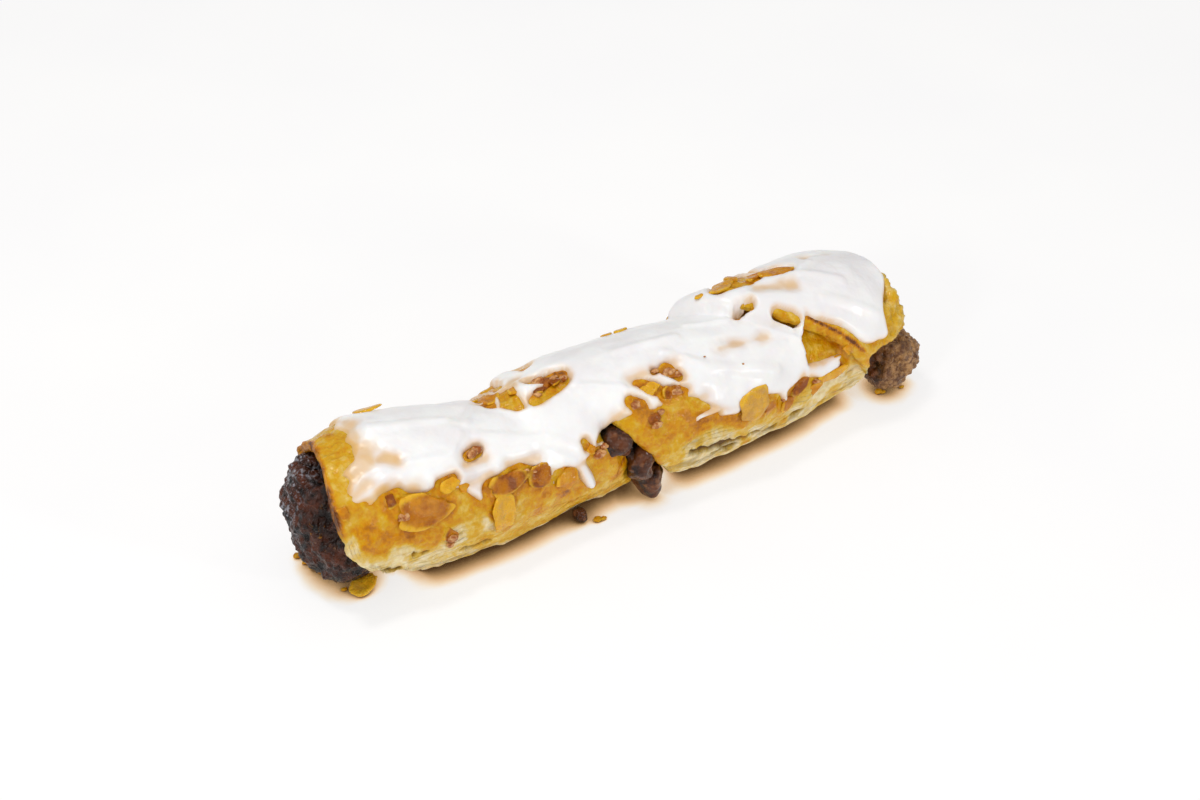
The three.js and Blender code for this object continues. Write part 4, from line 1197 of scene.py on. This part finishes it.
# %% [markdown]
# ## Almond slices
# An almond is cut along its flat side into ovals about a millimetre thick, pointed at one end, and many
# break. Each lies on the crust and bends with it. Its outline is the oval, cut back by straight breaks, and
# a few rings inside that outline, above and below, make one closed skin. The glaze pools in the middle, so
# how near the rim a point lies is stored, because the rim is paler.

# %% Shape of a slice
SLICE_THICKNESS = 0.9
SLICE_STEPS = 64
SLICE_RINGS = np.array([
    (0.0, 0.5), (0.3, 0.5), (0.6, 0.5), (0.82, 0.46), (0.94, 0.34), (1.0, 0.05), (1.0, -0.35), (0.9, -0.48),
    (0.5, -0.5), (0.0, -0.5)])


def slice_outline(angle, length, width, breaks, seed):
    """Reach of the slice in each direction, in mm."""
    along, sideways = length / 2 * np.cos(angle), width / 2 * np.sin(angle) * (1 - 0.28 * np.cos(angle))
    reach, heading = np.hypot(along, sideways), np.arctan2(sideways, along)
    for towards, distance in breaks:
        facing = np.cos(heading - math.radians(towards))
        reach = np.where(facing > 0.05, np.minimum(reach, distance / np.maximum(facing, 0.05)), reach)
    ring = np.stack([np.cos(angle), np.sin(angle), 0 * angle + seed], -1)
    reach = reach * (1 + 0.13 * rough(ring, 0.6, 4, seed))
    return reach * np.cos(heading), reach * np.sin(heading)


def slice_rings(column, row, length, width, turned, breaks, seed):
    """Where the points of a slice lie about its middle, in mm, and their level from -0.5 to 0.5."""
    spread, level = SLICE_RINGS[column].T
    angle = 2 * np.pi * (row % SLICE_STEPS) / SLICE_STEPS
    along, sideways = slice_outline(angle, length, width, breaks, seed)
    cos, sin = math.cos(math.radians(turned)), math.sin(math.radians(turned))
    return spread * (along * cos - sideways * sin), spread * (along * sin + sideways * cos), level


def slice_skin(name, points_at):
    piece = rolled(name, len(SLICE_RINGS) - 1, SLICE_STEPS, points_at)
    apply_modifier(piece, "SUBSURF", levels=1)
    return piece


def slice_piece(name, x0, around0, length, width, turned, lift, breaks, toast, seed):
    def points_at(column, row):
        dx, ds, level = slice_rings(column, row, length, width, turned, breaks, seed)
        middle = read(seat_table, x0 + 0 * dx, around0 + 0 * ds)
        seat = np.maximum(middle, read(seat_table, x0 + 0.6 * dx, around0 + 0.6 * ds / ARC))
        flat = np.stack([x0 + dx, around0 * ARC + ds, 0 * dx], -1)
        bend = 0.55 * grain(flat, 6, seed) + 0.22 * grain(flat, 2.2, seed + 1) * (level > 0)
        height = lift + bend + (level + 0.5) * SLICE_THICKNESS
        return place(x0 + dx, around0 + ds / ARC, seat + height)

    piece = slice_skin(name, points_at)
    x, around, _ = find(points_of(piece))
    cos, sin = math.cos(math.radians(turned)), math.sin(math.radians(turned))
    dx, ds = x - x0, (around - around0) * ARC
    reach = np.hypot((dx * cos + ds * sin) / (length / 2), (ds * cos - dx * sin) / (width / 2))
    mark(piece, "rim", smooth(0.72, 1.0, reach))
    mark(piece, "toast", np.full(len(x), toast))
    return piece


print("slice:", len(SLICE_RINGS), "rings of", SLICE_STEPS, "points before subdivision")

# %% [markdown]
# Toasted almond under glaze: pale nut flesh that light enters, tinted amber where the glaze is thick, with
# a smooth shiny skin of sugar.

# %% Almond material
TOAST_TONES = [(0.0, "#BC8A48"), (0.35, "#E2AA20"), (0.7, "#CE8606"), (0.95, "#A65C02"), (1.0, "#8A4604")]

almond = new_material("glazed_toasted_almond")
toasted = broken_up(almond, "toast", 3.0, most=0.25, detail=4, operation="ADD")
flesh = add(almond, "ValToRGB", {"Fac": toasted}, tones=TOAST_TONES)
at_rim = broken_up(almond, "rim", 2.5, 0.3, 0.5, most=0.85)
flesh = add(almond, "Mix", {0: at_rim, 6: flesh, 7: "#EAB82C"}, **BLEND)
relief = add(almond, "Bump", {"Height": mottled(almond, 0.9), "Distance": 0.1 * MM})
relief = add(almond, "Bump", {"Height": mottled(almond, 2.6), "Distance": 0.35 * MM, "Normal": relief})
surface = add(almond, "BsdfPrincipled", {
    "Base Color": flesh, "Roughness": 0.1, "IOR": 1.47, "Specular IOR Level": 0.32,
    "Subsurface Weight": 0.2, "Subsurface Radius": (1.0, 0.5, 0.15), "Subsurface Scale": 1.2 * MM,
    "Normal": relief})
add(almond, "OutputMaterial", {"Surface": surface})

# %% Large slices and small flakes
for number, row in enumerate(LARGE_SLICES, 1):
    piece = slice_piece(f"almond_slice_{number}", *row, 60 + number)
    hand_over(piece, almond, "almond", f"almond_{number}")


def breaks_for(length, width, seed):
    """Three straight breaks at chance directions and distances."""
    draws = grain(np.array([[seed * 7.3, i * 5.1, 2.7] for i in range(5)]), 1.0, seed)
    mean = (length + width) / 2
    return [(180 * draws[i] + 120 * i, (0.3 + 0.12 * draws[i + 2]) * mean) for i in range(3)]


flakes = [slice_piece(f"flake_{i}", *flake[:6], breaks_for(*flake[2:4], 80 + i), flake[6], 80 + i)
          for i, flake in enumerate(SMALL_FLAKES)]
flakes = joined("almond_flakes", flakes)
hand_over(flakes, almond, "almond")

# %% [markdown]
# Chopped nuts that the glaze glued on: small uneven lumps, wet and reddish brown. Each starts as a small
# ball that chance makes uneven, with its own seed, so that no two are alike.

# %% Nut bits
NUT_BITS = [
    (-71.5, 25, 1.6, 0), (-59.5, -2, 1.7, 0), (-59.8, -8, 1.2, 0), (-38, 24, 1.3, 0), (-35.5, 25, 1.0, 0),
    (-33, 23, 0.9, 0), (-61, 22, 0.8, 0.4), (12.6, 58, 1.5, 0), (14.4, 54, 1.2, 0), (9.2, 62.5, 0.9, 0),
    (-20, 96, 1.6, 0), (-16.5, 90, 1.3, 0), (-14.6, 85, 1.1, 0), (-23, 82, 1.2, 0), (3.8, 26, 1.5, 0),
    (-13, 17, 1.5, 0), (-11, 21, 1.1, 0), (-0.4, 44, 1.4, 0), (-48.6, 49.5, 1.6, 0), (-46.8, 51, 1.3, 0),
    (58, 6, 1.1, 0), (12.4, 43, 1.5, 0), (6, 33, 1.0, 0), (34, 43, 0.4, 1.6), (24, 58, 0.3, 1.6),
    (61, 8, 1.0, 0), (66, 12, 0.9, 0), (46, 4, 0.9, 0),
]


def nut_bit(index, x, around, size, rise):
    bit, lumpy = lump(subdivisions=3, shift=index, width=0.9, seed=index, squash=(1.1, 0.8, 0.7))
    middle = place(x, around, read(seat_table, x, around) + 0.35 * size + rise)
    move_points(bit, middle + size * lumpy)
    return bit


nut = new_material("glazed_chopped_nut")
flesh = add(nut, "Mix", {0: mottled(nut, 1.4, 0.4, 0.6), 6: "#9A5218", 7: "#D9A468"}, **BLEND)
relief = add(nut, "Bump", {"Height": mottled(nut, 0.8), "Distance": 0.1 * MM})
surface = add(nut, "BsdfPrincipled", {
    "Base Color": flesh, "Roughness": 0.16, "IOR": 1.47, "Subsurface Weight": 0.2,
    "Subsurface Radius": (1.0, 0.5, 0.3), "Subsurface Scale": MM, "Normal": relief})
add(nut, "OutputMaterial", {"Surface": surface})
bits = joined("nut_bits", [nut_bit(i, *bit) for i, bit in enumerate(NUT_BITS)])
hand_over(bits, nut, "almond")


# %% [markdown]
# ## What fell on the tray
# One slice slid off at the burnt end and leans there, a drip of filling set beside the twist, and a few
# golden crumbs lie about. All are made like their neighbours on the twist, but stand on the tray.

# %% Fallen slice, drip and crumbs
FALLEN_AT = (-79.2, -9.9)
FALLEN_LENGTH, FALLEN_WIDTH, FALLEN_TURN, FALLEN_TOAST = 9.2, 5.2, 12, 0.2
FALLEN_BREAKS = [(20, 3.8), (75, 2.3), (320, 3.4)]


def fallen_points(column, row):
    x, y, level = slice_rings(column, row, FALLEN_LENGTH, FALLEN_WIDTH, FALLEN_TURN, FALLEN_BREAKS, 91)
    z = 1.9 + 0.1 * x + 0.22 * y + 0.25 * grain(np.stack([x, y, 0 * x], -1), 3, 92) + level
    return np.stack([FALLEN_AT[0] + x, FALLEN_AT[1] + y, z], -1)


fallen = slice_skin("almond_fallen_slice", fallen_points)
spot = points_of(fallen)
from_middle = (spot[:, :2] - FALLEN_AT) / (FALLEN_LENGTH / 2, FALLEN_WIDTH / 2)
mark(fallen, "rim", smooth(0.5, 1.0, np.hypot(*from_middle.T)))
mark(fallen, "toast", np.full(len(spot), FALLEN_TOAST))
hand_over(fallen, almond, "almond", "almond_fallen")

drip = leak_mass((-16.7, -14.3, 2.3), (2.0, 3.1, 2.4))
drip.name = drip.data.name = "filling_drip"
spot = points_of(drip)
spot += normals_of(drip) * (0.35 * rough(spot, 2.4, 3, 93))[:, None]
spot[:, 2] = np.maximum(spot[:, 2], 0.05)
move_points(drip, spot)
hand_over(drip, paste, "filling", "drip_on_tray")

CRUMBS = [
    (-87.6, 7.5, 1.3), (-87, 4.5, 1.5), (-88.6, 11, 1.2), (-86, 2, 0.9), (-84, -7.6, 0.8), (88.5, -7.6, 1.1),
    (89.6, -8.2, 0.8), (96, -9, 0.7), (-12.5, -16.6, 1.1), (-11, -17, 0.8),
]


def crumb(index, x, y, size):
    bit, lumpy = lump(subdivisions=2, shift=3 * index, width=0.8, seed=index, squash=(1.1, 0.8, 0.6))
    spot = np.array([x, y, 0.6 * size]) + size * lumpy
    spot[:, 2] = np.maximum(spot[:, 2], 0.02)
    move_points(bit, spot)
    return bit


golden_crumbs = joined("pastry_crumbs", [crumb(i, *one) for i, one in enumerate(CRUMBS)])
for name, value in (("bake", 0.6), ("film", 0.5)):
    mark(golden_crumbs, name, np.full(len(golden_crumbs.data.vertices), value))
hand_over(golden_crumbs, crust, "pastry")
